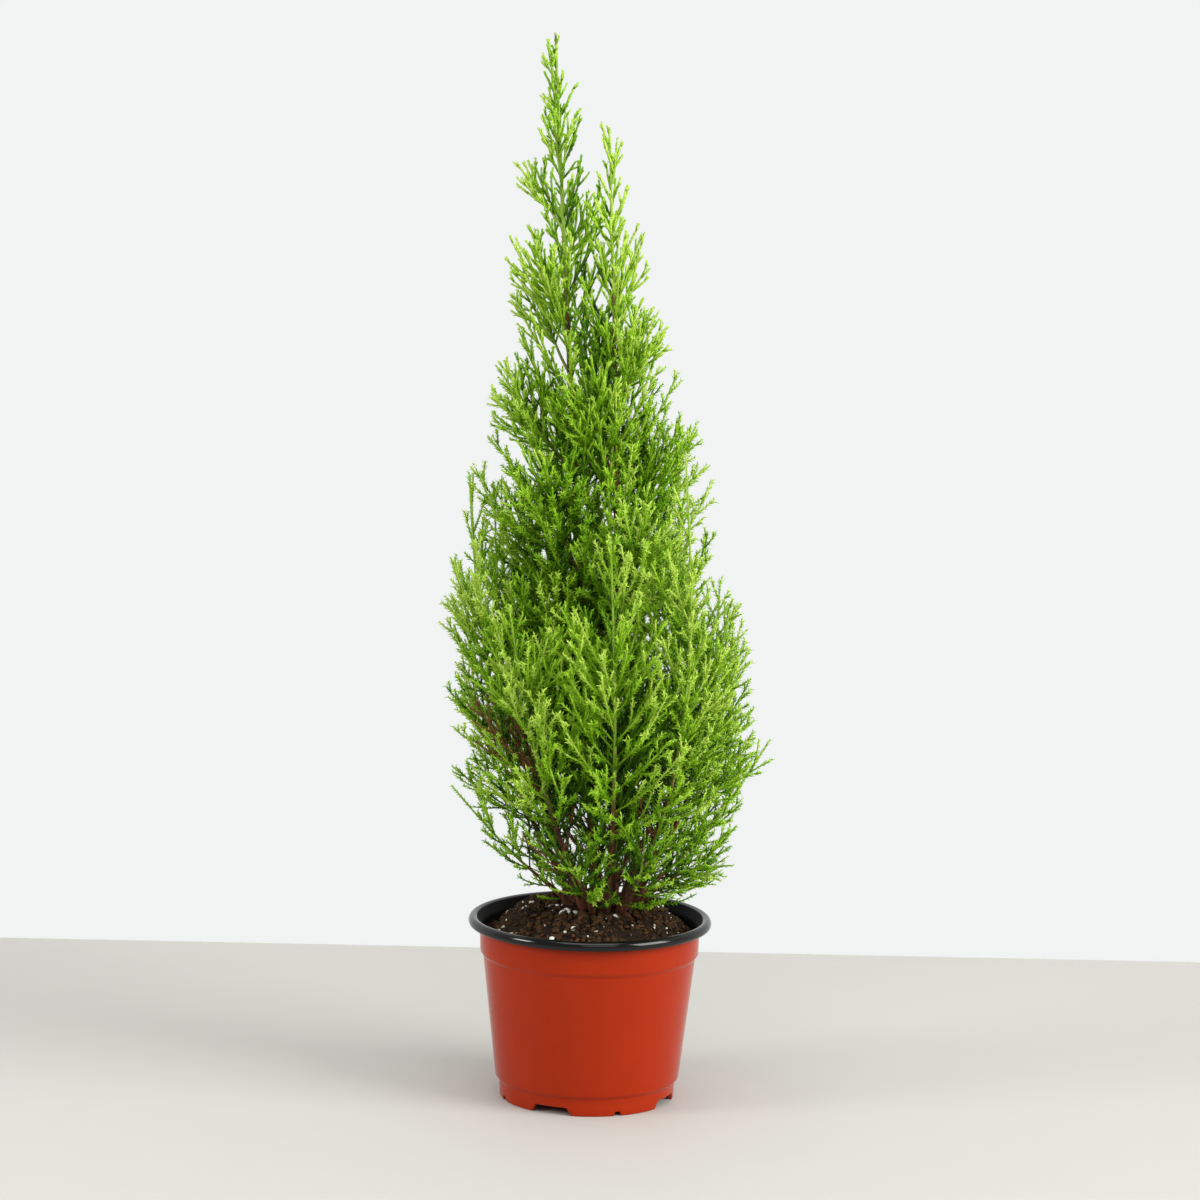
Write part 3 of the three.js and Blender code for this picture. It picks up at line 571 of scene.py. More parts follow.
def scattered_places(count):
    """Points spread evenly over the heap: an even azimuth, and a radius by the root of an even number."""
    radius = (SOIL_RADIUS - SCATTER_INSET) * np.sqrt(mix_draw.random(count))
    azimuth = 2 * np.pi * mix_draw.random(count)
    x, y = radius * np.cos(azimuth), radius * np.sin(azimuth)
    return np.stack([x, y, soil_height(x, y)], -1)


def lumps(count, least, most, stretch):
    """Balls with jittered corners, most of them small, stretched along a random line and sunk in the heap."""
    size = least + (most - least) * mix_draw.random(count) ** FEW_LARGE
    jitter = 1 + JITTER * (mix_draw.random((count, len(BALL), 1)) - 0.5) * 2
    line = unit(mix_draw.normal(size=(count, 3)) * [1, 1, FLATNESS])
    corners = BALL[None] * jitter * (size / 2)[:, None, None]
    along = (corners * line[:, None]).sum(-1, keepdims=True)
    corners = (corners - along * line[:, None]) / stretch ** 0.5 + along * stretch * line[:, None]
    points = scattered_places(count)[:, None] + corners + np.array([0, 0, LUMP_LIFT]) * size[:, None, None]
    faces = ball_faces()[None] + len(BALL) * np.arange(count)[:, None, None]
    return points.reshape(-1, 3), [faces.reshape(-1, 3)]


for name, finish in zip(SCATTER, (CRUMB, PERLITE, CHIP)):
    scattered = make_piece(name, *lumps(**SCATTER[name]), [finish], smooth=False)
    part_of_plant(scattered, "potting_mix", "potting_mix")

# %% [markdown]
# ## Stems
# The trunk, the second leader and the boughs follow the same parabolas as the solids, with the same taper and
# root flare. Young cypress bark is reddish brown and peels in thin strips, so each stem is a grid round its
# path whose radius is raised by noise that is drawn out along the stem. Near the top the leaders are green.

# %% Parabolas
LENGTH_POINTS = 201


def polar(radius, azimuth, height, centre_x=0.0):
    """Point at a radius and an azimuth in degrees from +X."""
    angle = np.radians(azimuth)
    return np.array([centre_x + radius * np.cos(angle), radius * np.sin(angle), height])


def on_path(path, t):
    """Points of a parabola with three control points: (1-t)^2 a + 2t(1-t) b + t^2 c."""
    a, b, c = path
    t = np.asarray(t, float)[..., None]
    return (1 - t) ** 2 * a + 2 * t * (1 - t) * b + t ** 2 * c


def along_path(path, t):
    """Unit headings of the parabola: (1-t)(b-a) + t(c-b), scaled to one."""
    a, b, c = path
    t = np.asarray(t, float)[..., None]
    return unit((1 - t) * (b - a) + t * (c - b))


def path_length(path):
    """Length of the parabola: the sum of many short straight steps."""
    steps = np.diff(on_path(path, np.linspace(0, 1, LENGTH_POINTS)), axis=0)
    return np.linalg.norm(steps, axis=1).sum()


print("a straight path is", path_length(np.outer([0, 5, 10], [0, 0, 1])).round(3), "mm long")

# %% Limbs, as in the solids
CLUMP_X = 8
LEADERS = {
    "trunk": {"base": (4, 4), "tip": (-32, -2), "top": 662, "bow": (-2, 3), "radius": 4.6, "tip_radius": 0.7},
    "second_leader": {"base": (14.5, -4), "tip": (2, -14), "top": 606, "bow": (6, -2), "radius": 3.2,
                      "tip_radius": 0.7},
}
BOUGH = {"ring": 19, "end": 37, "end_height": 160, "radius": 2.9, "tip_radius": 2.1}
LOW_BOUGH = {"ring": 22, "end": 42, "end_height": 141, "radius": 2, "tip_radius": 1.5}
# Azimuth, reach and height of the tip of each bough's plume
BOUGH_TIPS = [(357, 76, 330), (46, 70, 398), (98, 74, 348), (146, 74, 384), (186, 80, 392), (230, 82, 318),
              (276, 74, 364), (316, 72, 414)]
LOW_BOUGH_TIPS = [(336, 96, 157), (20, 119, 222), (72, 84, 186), (122, 90, 204), (208, 98, 205),
                  (253, 66, 168), (296, 74, 182)]
ROOT_FLARE, FLARE_LENGTH, TAPER_POWER = 0.45, 9, 0.8
BEND_OUT, BEND_UP = 0.45, 0.55


def make_limb(path, radius, tip_radius):
    """A limb: its path, and its radius along it, which tapers by a power and flares at the root."""
    length = path_length(path)

    def radius_at(t):
        """From the foot's radius to the tip's by a power of t, and a flare that dies away from the root."""
        flare = ROOT_FLARE * radius * np.exp(-t * length / FLARE_LENGTH)
        return lerp(radius, tip_radius, t ** TAPER_POWER) + flare
    return SimpleNamespace(path=path, length=length, radius_at=radius_at)


def leader_limb(base, tip, top, bow, radius, tip_radius):
    """A leader's parabola bends through the middle of its foot and head, moved by its bow."""
    foot, head = np.array([*base, SOIL_TOP + SEAT_GAP]), np.array([*tip, top])
    return make_limb(np.array([foot, (foot + head) / 2 + [*bow, 0], head]), radius, tip_radius)


def bough_limb(size, azimuth):
    """A bough starts at the rim of the clump and leans out to its plume."""
    foot = polar(size["ring"], azimuth, SOIL_TOP + SEAT_GAP, CLUMP_X)
    end = polar(size["end"], azimuth, size["end_height"], CLUMP_X)
    bend = polar(lerp(size["ring"], size["end"], BEND_OUT), azimuth, lerp(foot[2], end[2], BEND_UP), CLUMP_X)
    return make_limb(np.array([foot, bend, end]), size["radius"], size["tip_radius"])


limbs = {name: leader_limb(**size) for name, size in LEADERS.items()}
limbs |= {f"bough_{i + 1}": bough_limb(BOUGH, tip[0]) for i, tip in enumerate(BOUGH_TIPS)}
limbs |= {f"low_bough_{i + 1}": bough_limb(LOW_BOUGH, tip[0]) for i, tip in enumerate(LOW_BOUGH_TIPS)}
print(len(limbs), "limbs, trunk", round(limbs["trunk"].length), "mm long")

# %% Bark
STRIP_GRAIN, STRIP_DRAW, STRIP_DEPTH = 1.4, 0.14, 0.6
FURROW, STRIP, NEW_GROWTH = "#28120a", "#7e4527", "#8aa93c"


def peeling_bark(name):
    """Young bark: reddish brown strips 1 mm wide between dark furrows, and green on new growth."""
    bark = start_material(name)
    place = add_node(bark, "ShaderNodeTexCoord").outputs["Object"]
    drawn = add_node(bark, "ShaderNodeMapping", {"Vector": place, "Scale": (1, 1, STRIP_DRAW)})
    strip = add_node(bark, "ShaderNodeTexNoise", {
        "Vector": drawn.outputs[0], "Scale": 1 / (STRIP_GRAIN * MM), "Detail": 5})
    spread = add_node(bark, "ShaderNodeMapRange", {
        "Value": strip.outputs["Fac"], "From Min": 0.3, "From Max": 0.7})
    brown = add_node(bark, "ShaderNodeMix", {
        "A": linear(FURROW), "B": linear(STRIP), "Factor": spread.outputs[0]}, data_type="RGBA")
    young = add_node(bark, "ShaderNodeAttribute", attribute_name="young")
    tone = add_node(bark, "ShaderNodeMix", {
        "A": brown.outputs["Result"], "B": linear(NEW_GROWTH), "Factor": young.outputs["Fac"]},
        data_type="RGBA")
    bump = add_node(bark, "ShaderNodeBump", {
        "Height": strip.outputs["Fac"], "Strength": 0.7, "Distance": STRIP_DEPTH * MM})
    surface = add_node(bark, "ShaderNodeBsdfPrincipled", {
        "Base Color": tone.outputs["Result"], "Roughness": 0.82, "Normal": bump.outputs[0]})
    add_node(bark, "ShaderNodeOutputMaterial", {"Surface": surface.outputs[0]})
    return bark


BARK = peeling_bark("peeling_cypress_bark")
print("bark", BARK.name)

# %% Tubes with bark in relief
STRIP_WIDTH, STRIP_LENGTH, RELIEF = 1.3, 11.0, 0.14
FINE_RELIEF, FINE_STEP = 0.5, 2.3
BARK_SHARE = 0.84


def cross_frame(tangents):
    """Two unit vectors across each heading: one level, and one square to both."""
    sideways = unit(np.stack([-tangents[..., 1], tangents[..., 0], np.zeros(tangents.shape[:-1])], -1))
    return sideways, np.cross(tangents, sideways)


def bark_tube(path, radius_at, rows, columns, seed, start=0.0):
    """Rings round a path: centre + r (cos u side + sin u upper), with noise in r drawn out along the path."""
    t = np.linspace(start, 1, rows)
    u = np.arange(columns) * 2 * np.pi / columns
    centre, tangent = on_path(path, t), along_path(path, t)
    side, upper = cross_frame(tangent)
    radius = radius_at(t)[:, None]
    length = path_length(path)
    strips = np.stack([radius * np.cos(u) / STRIP_WIDTH, radius * np.sin(u) / STRIP_WIDTH,
                       np.broadcast_to(t[:, None] * length / STRIP_LENGTH, (rows, columns))], -1)
    fine = FINE_RELIEF * value_noise(FINE_STEP * strips, 1.0, seed + 1)
    relief = RELIEF * (value_noise(strips, 1.0, seed) + fine)
    ridged = radius * (BARK_SHARE + relief)
    outwards = np.cos(u)[:, None] * side[:, None] + np.sin(u)[:, None] * upper[:, None]
    tube = centre[:, None] + ridged[..., None] * outwards
    ends = np.repeat(centre[[0, -1], None], columns, axis=1)
    return closed_lathe(np.concatenate([ends[:1], tube, ends[1:]]))


print("relief up to", round(RELIEF * (1 + FINE_RELIEF), 2), "of the radius")

# %% Bark of the leaders and boughs
GREEN_FROM, GREEN_TO = 480, 540
LEADER_ROWS, LEADER_COLUMNS, LEADER_BARK_SEEDS = 260, 20, (40, 47)
BOUGH_ROWS, BOUGH_COLUMNS, BOUGH_BARK_SEEDS = 36, 16, range(80, 125, 3)


def tube_young(young, columns):
    """Youth of each point of a tube: that of its ring, and then of the two end points."""
    return np.concatenate([np.repeat(young, columns), young[[0, -1]]])


def joined(pieces):
    """Several (points, faces) as one: the face numbers of each are moved past the points before it."""
    counts = np.cumsum([0] + [len(points) for points, _ in pieces])
    kinds = zip(*[[each + first for each in faces] for (_, faces), first in zip(pieces, counts)])
    return np.concatenate([points for points, _ in pieces]), [np.concatenate(kind) for kind in kinds]


for seed, name in zip(LEADER_BARK_SEEDS, LEADERS):
    limb = limbs[name]
    rings = bark_tube(limb.path, limb.radius_at, LEADER_ROWS, LEADER_COLUMNS, seed)
    height = on_path(limb.path, np.linspace(0, 1, LEADER_ROWS))[:, 2]
    young = tube_young(smooth_step(height, GREEN_FROM, GREEN_TO), LEADER_COLUMNS)
    part_of_plant(make_piece(f"{name}_bark", *rings, [BARK], young=young), "bark", name)
bough_names = [name for name in limbs if "bough" in name]
tubes = [bark_tube(limbs[name].path, limbs[name].radius_at, BOUGH_ROWS, BOUGH_COLUMNS, seed)
         for name, seed in zip(bough_names, BOUGH_BARK_SEEDS)]
bough_points, bough_faces = joined(tubes)
boughs = make_piece("bough_bark", bough_points, bough_faces, [BARK], young=np.zeros(len(bough_points)))
part_of_plant(boughs, "bark", *bough_names)

# %% [markdown]
# ## Plumes
# The foliage grows in plumes, one for each solid mass: some carry a bough on, and the rest climb a leader in
# a spiral. Their stems, whorls and headings come from the rule of the solids, written again here, so that a
# spray grows where each solid blade stands.

# %% Habits of the plumes, as in the solids
BOUGH_HABIT = {"nodes": 13, "length": 66, "width": 34, "spread": 56, "first": 0.04, "end": 0.8}
LOW_HABIT = {"nodes": 4, "length": 46, "width": 25, "spread": 50, "first": 0.08, "end": 0.76}
FOOT_HABIT = {"nodes": 7, "length": 60, "width": 32, "spread": 52, "first": 0.16, "end": 0.8}
HEAD_HABIT = {"nodes": 2, "length": 26, "width": 14, "spread": 42, "first": 0.2, "end": 0.55}


def leader_habit(share):
    """The habit a share of the way up a leader, between the one at its foot and the one at its head."""
    habit = {key: lerp(FOOT_HABIT[key], HEAD_HABIT[key], share) for key in FOOT_HABIT}
    return habit | {"nodes": int(np.floor(habit["nodes"] + 0.5))}


print("habit half way up a leader", leader_habit(0.5))

# %% Stems of the plumes, as in the solids
GOLDEN_ANGLE = 137.508
SPIRE_REACH, SPIRE_POWER = 0.92, 0.715
TRUNK_PLUMES = {"count": 16, "lowest": 156, "highest": 632, "rise": (106, 22), "most_reach": 52}
LEADER_PLUMES = {"count": 8, "lowest": 235, "highest": 574, "rise": (100, 26), "most_reach": 52}
FACING_GAP, LEAST_DEPTH, ROOT_POWER = 104, 10, 0.9
PLUME_OUT, PLUME_UP, PLUME_LEAD = 0.6, 0.4, 0.36
LEADER_SEED = 400


def bough_plume(name, bough, tip, habit):
    """The stem sets off along its bough and bends up to the plume's tip."""
    azimuth, reach, top = tip
    heading = along_path(bough.path, 1.0)
    start = on_path(bough.path, 1.0) + SEAT_GAP * heading
    end = polar(reach, azimuth, top)
    middle = start + PLUME_LEAD * np.linalg.norm(end - start) * heading
    return SimpleNamespace(name=name, path=np.array([start, middle, end]), habit=habit, seed=azimuth)


def leader_plume(prefix, limb, i, spiral, facing):
    """One stem of the spiral: rooted on the leader, with a tip that stands off it by a power of its depth."""
    share = i / (spiral["count"] - 1)
    foot, top = limb.path[0, 2], limb.path[2, 2]
    root_height = lerp(spiral["lowest"], spiral["highest"], share ** ROOT_POWER)
    azimuth = facing + FACING_GAP / 2 + (i * GOLDEN_ANGLE % 360) / 360 * (360 - FACING_GAP)
    tip_height = root_height + lerp(*spiral["rise"], share)
    reach = min(SPIRE_REACH * max(top - tip_height, LEAST_DEPTH) ** SPIRE_POWER, spiral["most_reach"])
    at = (root_height - foot) / (top - foot)
    root = on_path(limb.path, at) + (limb.radius_at(at) + SEAT_GAP) * polar(1, azimuth, 0)
    axis = on_path(limb.path, min((tip_height - foot) / (top - foot), 1)) * [1, 1, 0]
    tip = polar(reach, azimuth, tip_height) + axis
    middle = lerp(root, tip, np.array([PLUME_OUT, PLUME_OUT, PLUME_UP]))
    path = np.array([root, middle, tip])
    return SimpleNamespace(name=f"{prefix}_{i + 1:02d}", path=path, habit=leader_habit(share),
                           seed=LEADER_SEED + i)


apart = np.subtract(LEADERS["second_leader"]["base"], LEADERS["trunk"]["base"])
towards = np.degrees(np.arctan2(apart[1], apart[0]))
plumes = [bough_plume(f"plume_bough_{i + 1}", limbs[f"bough_{i + 1}"], tip, BOUGH_HABIT)
          for i, tip in enumerate(BOUGH_TIPS)]
plumes += [bough_plume(f"plume_low_{i + 1}", limbs[f"low_bough_{i + 1}"], tip, LOW_HABIT)
           for i, tip in enumerate(LOW_BOUGH_TIPS)]
plumes += [leader_plume("plume_trunk", limbs["trunk"], i, TRUNK_PLUMES, towards)
           for i in range(TRUNK_PLUMES["count"])]
plumes += [leader_plume("plume_leader", limbs["second_leader"], i, LEADER_PLUMES, towards + 180)
           for i in range(LEADER_PLUMES["count"])]
print(len(plumes), "plumes")

# %% [markdown]
# ## Own space
# A spray belongs to its plume's space: nearer to its own stem than to any other, inside the crown's outline
# and clear of the wood. A spray that would leave it is tried shorter, and then left out, as in the solids.

# %% Outline of the crown
# Height of the crown's outline, and its left and right edge there
CROWN = np.array([(128, -34, 60), (142, -48, 88), (180, -86, 93), (222, -93, 114), (255, -93, 98),
                  (290, -98, 97), (360, -91, 82), (425, -72, 62), (516, -63, 36), (570, -59, 18),
                  (610, -50, 8), (643, -44, -20), (664, -38, -27)], float)


def crown_share(points):
    """How far out each point is: its distance from the crown's middle, over the radius there."""
    left = np.interp(points[..., 2], CROWN[:, 0], CROWN[:, 1])
    right_edge = np.interp(points[..., 2], CROWN[:, 0], CROWN[:, 2])
    middle, radius = (left + right_edge) / 2, (right_edge - left) / 2
    return np.hypot(points[..., 0] - middle, points[..., 1]) / radius


print("crown from", CROWN[0, 0], "to", CROWN[-1, 0], "mm")

# %% The rule of own space
INTERLACE = 12.0
ROOM = 15.0
WOOD_MARGIN = 0.6
LEADER_BARE = 0.3
STEM_POINTS, LIMB_STEPS = 11, 24


def distance_to_lines(points, lines, radii=0.0):
    """Distance of each point to each polyline: to its nearest step, less the radius there."""
    a, step = lines[:, :-1], np.diff(lines, axis=1)
    off = points[:, None, None] - a
    share = np.clip((off * step).sum(-1) / (step * step).sum(-1), 0, 1)
    return (np.linalg.norm(off - share[..., None] * step, axis=-1) - radii).min(-1)


stem_lines = [on_path(plume.path, np.linspace(0, 1, STEM_POINTS)) for plume in plumes]
stem_lines += [on_path(limbs[name].path, np.linspace(LEADER_BARE, 1, STEM_POINTS)) for name in LEADERS]
stem_lines = np.array(stem_lines)
limb_lines = np.array([on_path(limb.path, np.linspace(0, 1, LIMB_STEPS + 1)) for limb in limbs.values()])
middles = (np.arange(LIMB_STEPS) + 0.5) / LIMB_STEPS
limb_radii = np.array([limb.radius_at(middles) for limb in limbs.values()])


def in_own_space(points, owner):
    """True for each point that keeps the rule. A plume's point may also reach a little way in among its
    neighbour's shoots, and anywhere that is far from every stem. A leader's point may be anywhere in the
    crown."""
    reach = distance_to_lines(points, stem_lines)
    own = reach[np.arange(len(points)), owner]
    in_height = (points[:, 2] > CROWN[0, 0]) & (points[:, 2] < CROWN[-1, 0])
    clear = (distance_to_lines(points, limb_lines, limb_radii) > WOOD_MARGIN).all(1)
    free = (own <= reach.min(1) + INTERLACE) | (reach.min(1) > ROOM) | (owner >= len(plumes))
    return free & in_height & (crown_share(points) < 1) & clear


print("space of", len(stem_lines), "stems and", len(limb_lines), "limbs")

# %% [markdown]
# ## Sprays
# At each node of a plume's stem three sprays open out, turned on from node to node. The solids show each as
# one blade. A real plume is denser, so here a second whorl stands half way between each two, and shoots
# dress the stem itself. Spirals of short sprays cover the leaders and the boughs, thin sprays arch out low
# down, and a bud ends the trunk. A spray is a spine with branchlets set all round it, and side shoots on the
# longer ones. All of them bend up towards the light, so every shoot is a start, a heading, a lift and a
# length, kept as rows of arrays.

# %% Random numbers and turns
draw = np.random.default_rng(5)


def chance(seed, count):
    """A repeatable number from 0 to 1 for a seed and a count, as in the solids."""
    wave = np.sin(seed * WAVE_STEPS[0] + count * WAVE_STEPS[1]) * WAVE_SIZE
    return wave - np.floor(wave)


def between(low_high, count):
    """Even random numbers between two values."""
    return lerp(*low_high, draw.random(count))


def leaned(vectors, heading):
    """Vectors turned by the shortest turn that takes +Z to a heading."""
    axis = np.stack([-heading[..., 1], heading[..., 0], np.zeros(heading.shape[:-1])], -1)
    cosine = heading[..., 2:3]
    dot = (axis * vectors).sum(-1, keepdims=True)
    return vectors * cosine + np.cross(axis, vectors) + axis * dot / (1 + cosine)


def turned_about(vectors, axis, angle):
    """Vectors turned about unit axes: v cos a + (k x v) sin a + k (k.v)(1 - cos a)."""
    angle = np.asarray(angle)[..., None]
    along = axis * (axis * vectors).sum(-1, keepdims=True)
    return vectors * np.cos(angle) + np.cross(axis, vectors) * np.sin(angle) + along * (1 - np.cos(angle))


print("first chance", chance(1, 1))

# %% Shoots as rows of arrays
SPINE_LIFT = (0.1, 0.36)


def lifted(heading, amount):
    """The lift of a shoot: the part of +Z that is square to its heading, times an amount."""
    upward = np.array([0, 0, 1.0]) - heading[:, 2:3] * heading
    return upward * amount[:, None]


def on_shoot(shoots, row, s):
    """Points along shoots: start + length (s heading + s^2 lift)."""
    s = s[:, None]
    bent = s * shoots.heading[row] + s * s * shoots.lift[row]
    return shoots.start[row] + shoots.length[row][:, None] * bent


def heading_on(shoots, row, s):
    """Headings along shoots: heading + 2 s lift, scaled to one."""
    return unit(shoots.heading[row] + 2 * s[:, None] * shoots.lift[row])


def stacked(groups):
    """The rows of several groups of arrays, one group after the other."""
    keys = vars(groups[0])
    return SimpleNamespace(**{key: np.concatenate([vars(group)[key] for group in groups]) for key in keys})


def picked(group, keep):
    """Some of the rows of a group of arrays."""
    return SimpleNamespace(**{key: value[keep] for key, value in vars(group).items()})


print("lift of a level shoot", lifted(np.array([[1.0, 0, 0]]), np.array([SPINE_LIFT[1]])))

# %% Rows of sprays on a stem
TIP_SLIMNESS = 0.6
SKEW_LINE = np.array([0.3, 0.2, 1.0])


def spray_rows(owner, path, at, angle, tilt, length, width, end, tip_width):
    """Sprays of one stem: each leans off it by a tilt, at an angle round it, and one more ends the stem."""
    angle, tilt = np.radians(angle), np.radians(tilt)[:, None]
    tangent = along_path(path, at)
    outwards = leaned(np.stack([np.cos(angle), np.sin(angle), np.zeros(len(angle))], -1), tangent)
    heading = unit(np.sin(tilt) * outwards + np.cos(tilt) * tangent)
    end_line = on_path(path, 1.0) - on_path(path, end)
    tip_length = np.linalg.norm(end_line)
    tip_across = unit(np.cross(end_line, SKEW_LINE))
    return SimpleNamespace(
        start=np.vstack([on_path(path, at), on_path(path, end)]),
        heading=np.vstack([heading, end_line / tip_length]),
        across=np.vstack([unit(np.cross(tangent, outwards)), tip_across]),
        length=np.append(length, tip_length),
        width=np.append(width, min(tip_width, TIP_SLIMNESS * tip_length)),
        owner=np.full(len(at) + 1, owner), ends_stem=np.append(np.zeros(len(at), bool), True),
        rise=np.append(between(SPINE_LIFT, len(at)), 0))


print("a spray that ends a stem is at most", TIP_SLIMNESS, "as wide as it is long")

# %% Sprays of a plume
WHORL, WHORLS_A_NODE, NODE_TWIST = 3, 2, -40
WHORL_ANGLE = 360 // WHORL
LAST_NODE, TIP_SPREAD = 0.08, 24
LENGTH_ALONG, LENGTH_LUCK, WIDTH_ALONG = (1.1, 0.7), (0.85, 1.15), (1.05, 0.8)
SLIMNESS, TIP_WIDTH = 0.54, 0.6
STEM_STEP, STEM_FROM, STEM_WIDTH = 26, 0.3, 13


def whorl_sprays(owner, plume):
    """The sprays of a plume: whorls of three at its nodes and half way between them."""
    habit, seed = plume.habit, plume.seed
    steps = WHORLS_A_NODE * (habit["nodes"] - 1) + 1
    node, side = np.meshgrid(np.arange(steps) / WHORLS_A_NODE, np.arange(WHORL), indexing="ij")
    node, side = node.ravel(), side.ravel()
    at = lerp(habit["first"], habit["end"] - LAST_NODE, node / (habit["nodes"] - 1))
    luck = lerp(*LENGTH_LUCK, chance(seed, WHORL * (2 * node + 1) + side))
    half_angle = WHORL_ANGLE // 2
    angle = half_angle + WHORL_ANGLE * side + seed * GOLDEN_ANGLE + node * NODE_TWIST
    angle = angle + half_angle * (node % 1 > 0)
    tilt = lerp(habit["spread"], TIP_SPREAD, at)
    length = habit["length"] * lerp(*LENGTH_ALONG, at) * luck
    width, tip_width = SLIMNESS * habit["width"] * lerp(*WIDTH_ALONG, at), TIP_WIDTH * habit["width"]
    return spray_rows(owner, plume.path, at, angle, tilt, length, width, habit["end"], tip_width)


def stem_sprays(owner, plume):
    """Shoots that dress a plume's own stem: chords of it, one after the other, up to its last spray."""
    dressed = (plume.habit["end"] - STEM_FROM) * path_length(plume.path)
    count = max(int(round(dressed / STEM_STEP)), 1)
    ends = on_path(plume.path, np.linspace(STEM_FROM, plume.habit["end"], count + 1))
    chord = np.diff(ends, axis=0)
    heading = unit(chord)
    return SimpleNamespace(
        start=ends[:-1], heading=heading, across=unit(np.cross(heading, SKEW_LINE)),
        length=np.linalg.norm(chord, axis=1), width=np.full(count, float(STEM_WIDTH)),
        owner=np.full(count, owner), ends_stem=np.ones(count, bool), rise=np.zeros(count))


print("whorls of", WHORL, "sprays, turned on by", NODE_TWIST, "degrees a node")

# %% Sprays of a leader and its bud
LEADER_STEP, LEADER_LENGTH, LEADER_SPREAD, LEADER_END = 3.6, (118, 9), (46, 27), 0.96
LEADER_WIDTH, LEADER_LUCK, LEADER_HOLD = (20, 8), (0.7, 1.1), 1.35
BUD_START, BUD_WIDTH, BUD_HEIGHT = 0.985, 0.5, 648


def leader_sprays(owner, limb):
    """The sprays of a leader: a spiral by the golden angle, shorter and steeper towards its tip."""
    count = int((LEADER_END - LEADER_BARE) * limb.length / LEADER_STEP)
    share = np.linspace(0, 1, count)
    length = lerp(*LEADER_LENGTH, share ** LEADER_HOLD) * between(LEADER_LUCK, count)
    at, angle = lerp(LEADER_BARE, LEADER_END, share), GOLDEN_ANGLE * np.arange(count)
    tilt, width = lerp(*LEADER_SPREAD, share), lerp(*LEADER_WIDTH, share)
    return spray_rows(owner, limb.path, at, angle, tilt, length, width, LEADER_END, LEADER_WIDTH[1])


def bud_spray(owner, limb):
    """The bare bud that ends a leader: an end row alone."""
    none = np.empty(0)
    return spray_rows(owner, limb.path, none, none, none, none, none, BUD_START, BUD_WIDTH)


print("leader sprays", LEADER_LENGTH[0], "mm long at the foot and", LEADER_LENGTH[1], "mm at the tip")

# %% Thin sprays low down and inside
FOOT_SPRAYS = {"count": 10, "at": (0.12, 0.97), "length": (20, 42), "spread": (40, 68), "width": 14}
INNER_SPRAYS = {"count": 90, "at": (0.03, 0.34), "length": (28, 60), "spread": (36, 66), "width": 14}
OWNER_STEP = 3
ARCHES, ARCH_AT, ARCH_LENGTH, ARCH_WIDTH = 6, (0.3, 0.9), (50, 84), 10
ARCH_TURN, ARCH_DIP, ARCH_RISE = 38, -0.16, (0.36, 0.6)


def spiral_sprays(owner, limb, count, at, length, spread, width):
    """Thin sprays on a part of a limb: a spiral by the golden angle, which starts elsewhere on each limb."""
    angle = GOLDEN_ANGLE * (np.arange(count) + OWNER_STEP * owner)
    rows = spray_rows(owner, limb.path, np.linspace(*at, count), angle, between(spread, count),
                      between(length, count), np.full(count, width), at[1], width)
    return picked(rows, ~rows.ends_stem)


def arching_sprays(owner, bough):
    """Long thin sprays low on a bough: each sets off level, or a little down, and its tip rises."""
    lean = along_path(bough.path, 0.5)
    azimuth = np.arctan2(lean[1], lean[0]) + np.radians(between((-ARCH_TURN, ARCH_TURN), ARCHES))
    heading = unit(np.stack([np.cos(azimuth), np.sin(azimuth), np.full(ARCHES, ARCH_DIP)], -1))
    return SimpleNamespace(
        start=on_path(bough.path, np.linspace(*ARCH_AT, ARCHES)), heading=heading,
        across=unit(np.cross(heading, [0, 0, 1.0])), length=between(ARCH_LENGTH, ARCHES),
        width=np.full(ARCHES, float(ARCH_WIDTH)), owner=np.full(ARCHES, owner),
        ends_stem=np.zeros(ARCHES, bool), rise=between(ARCH_RISE, ARCHES))


print(ARCHES, "arching sprays on each low bough")

# %% All the sprays
sprays = stacked([whorl_sprays(i, plume) for i, plume in enumerate(plumes)]
                 + [stem_sprays(i, plume) for i, plume in enumerate(plumes)]
                 + [leader_sprays(len(plumes) + i, limbs[name]) for i, name in enumerate(LEADERS)]
                 + [spiral_sprays(i, limbs[name], **FOOT_SPRAYS) for i, name in enumerate(bough_names)]
                 + [spiral_sprays(len(plumes) + i, limbs[name], **INNER_SPRAYS)
                    for i, name in enumerate(LEADERS)]
                 + [arching_sprays(i, limbs[name]) for i, name in enumerate(bough_names) if "low" in name]
                 + [bud_spray(len(plumes), limbs["trunk"])])
print(len(sprays.length), "sprays on", len(stem_lines), "stems")

# %% Bend the sprays, keep them in their own space and leave some out
SPINE_ROLL = 45
SHORTER = np.array([1, 0.9, 0.8, 0.7, 0.62, 0.54, 0.48, 0.4])
SPINE_MARK, SIDE_MARK = 0.6, 0.7
OPEN_AT, OPENNESS = (130, 180, 300, 380, 470, 560, 660), (0.34, 0.36, 0.3, 0.14, 0.24, 0.44, 0.4)

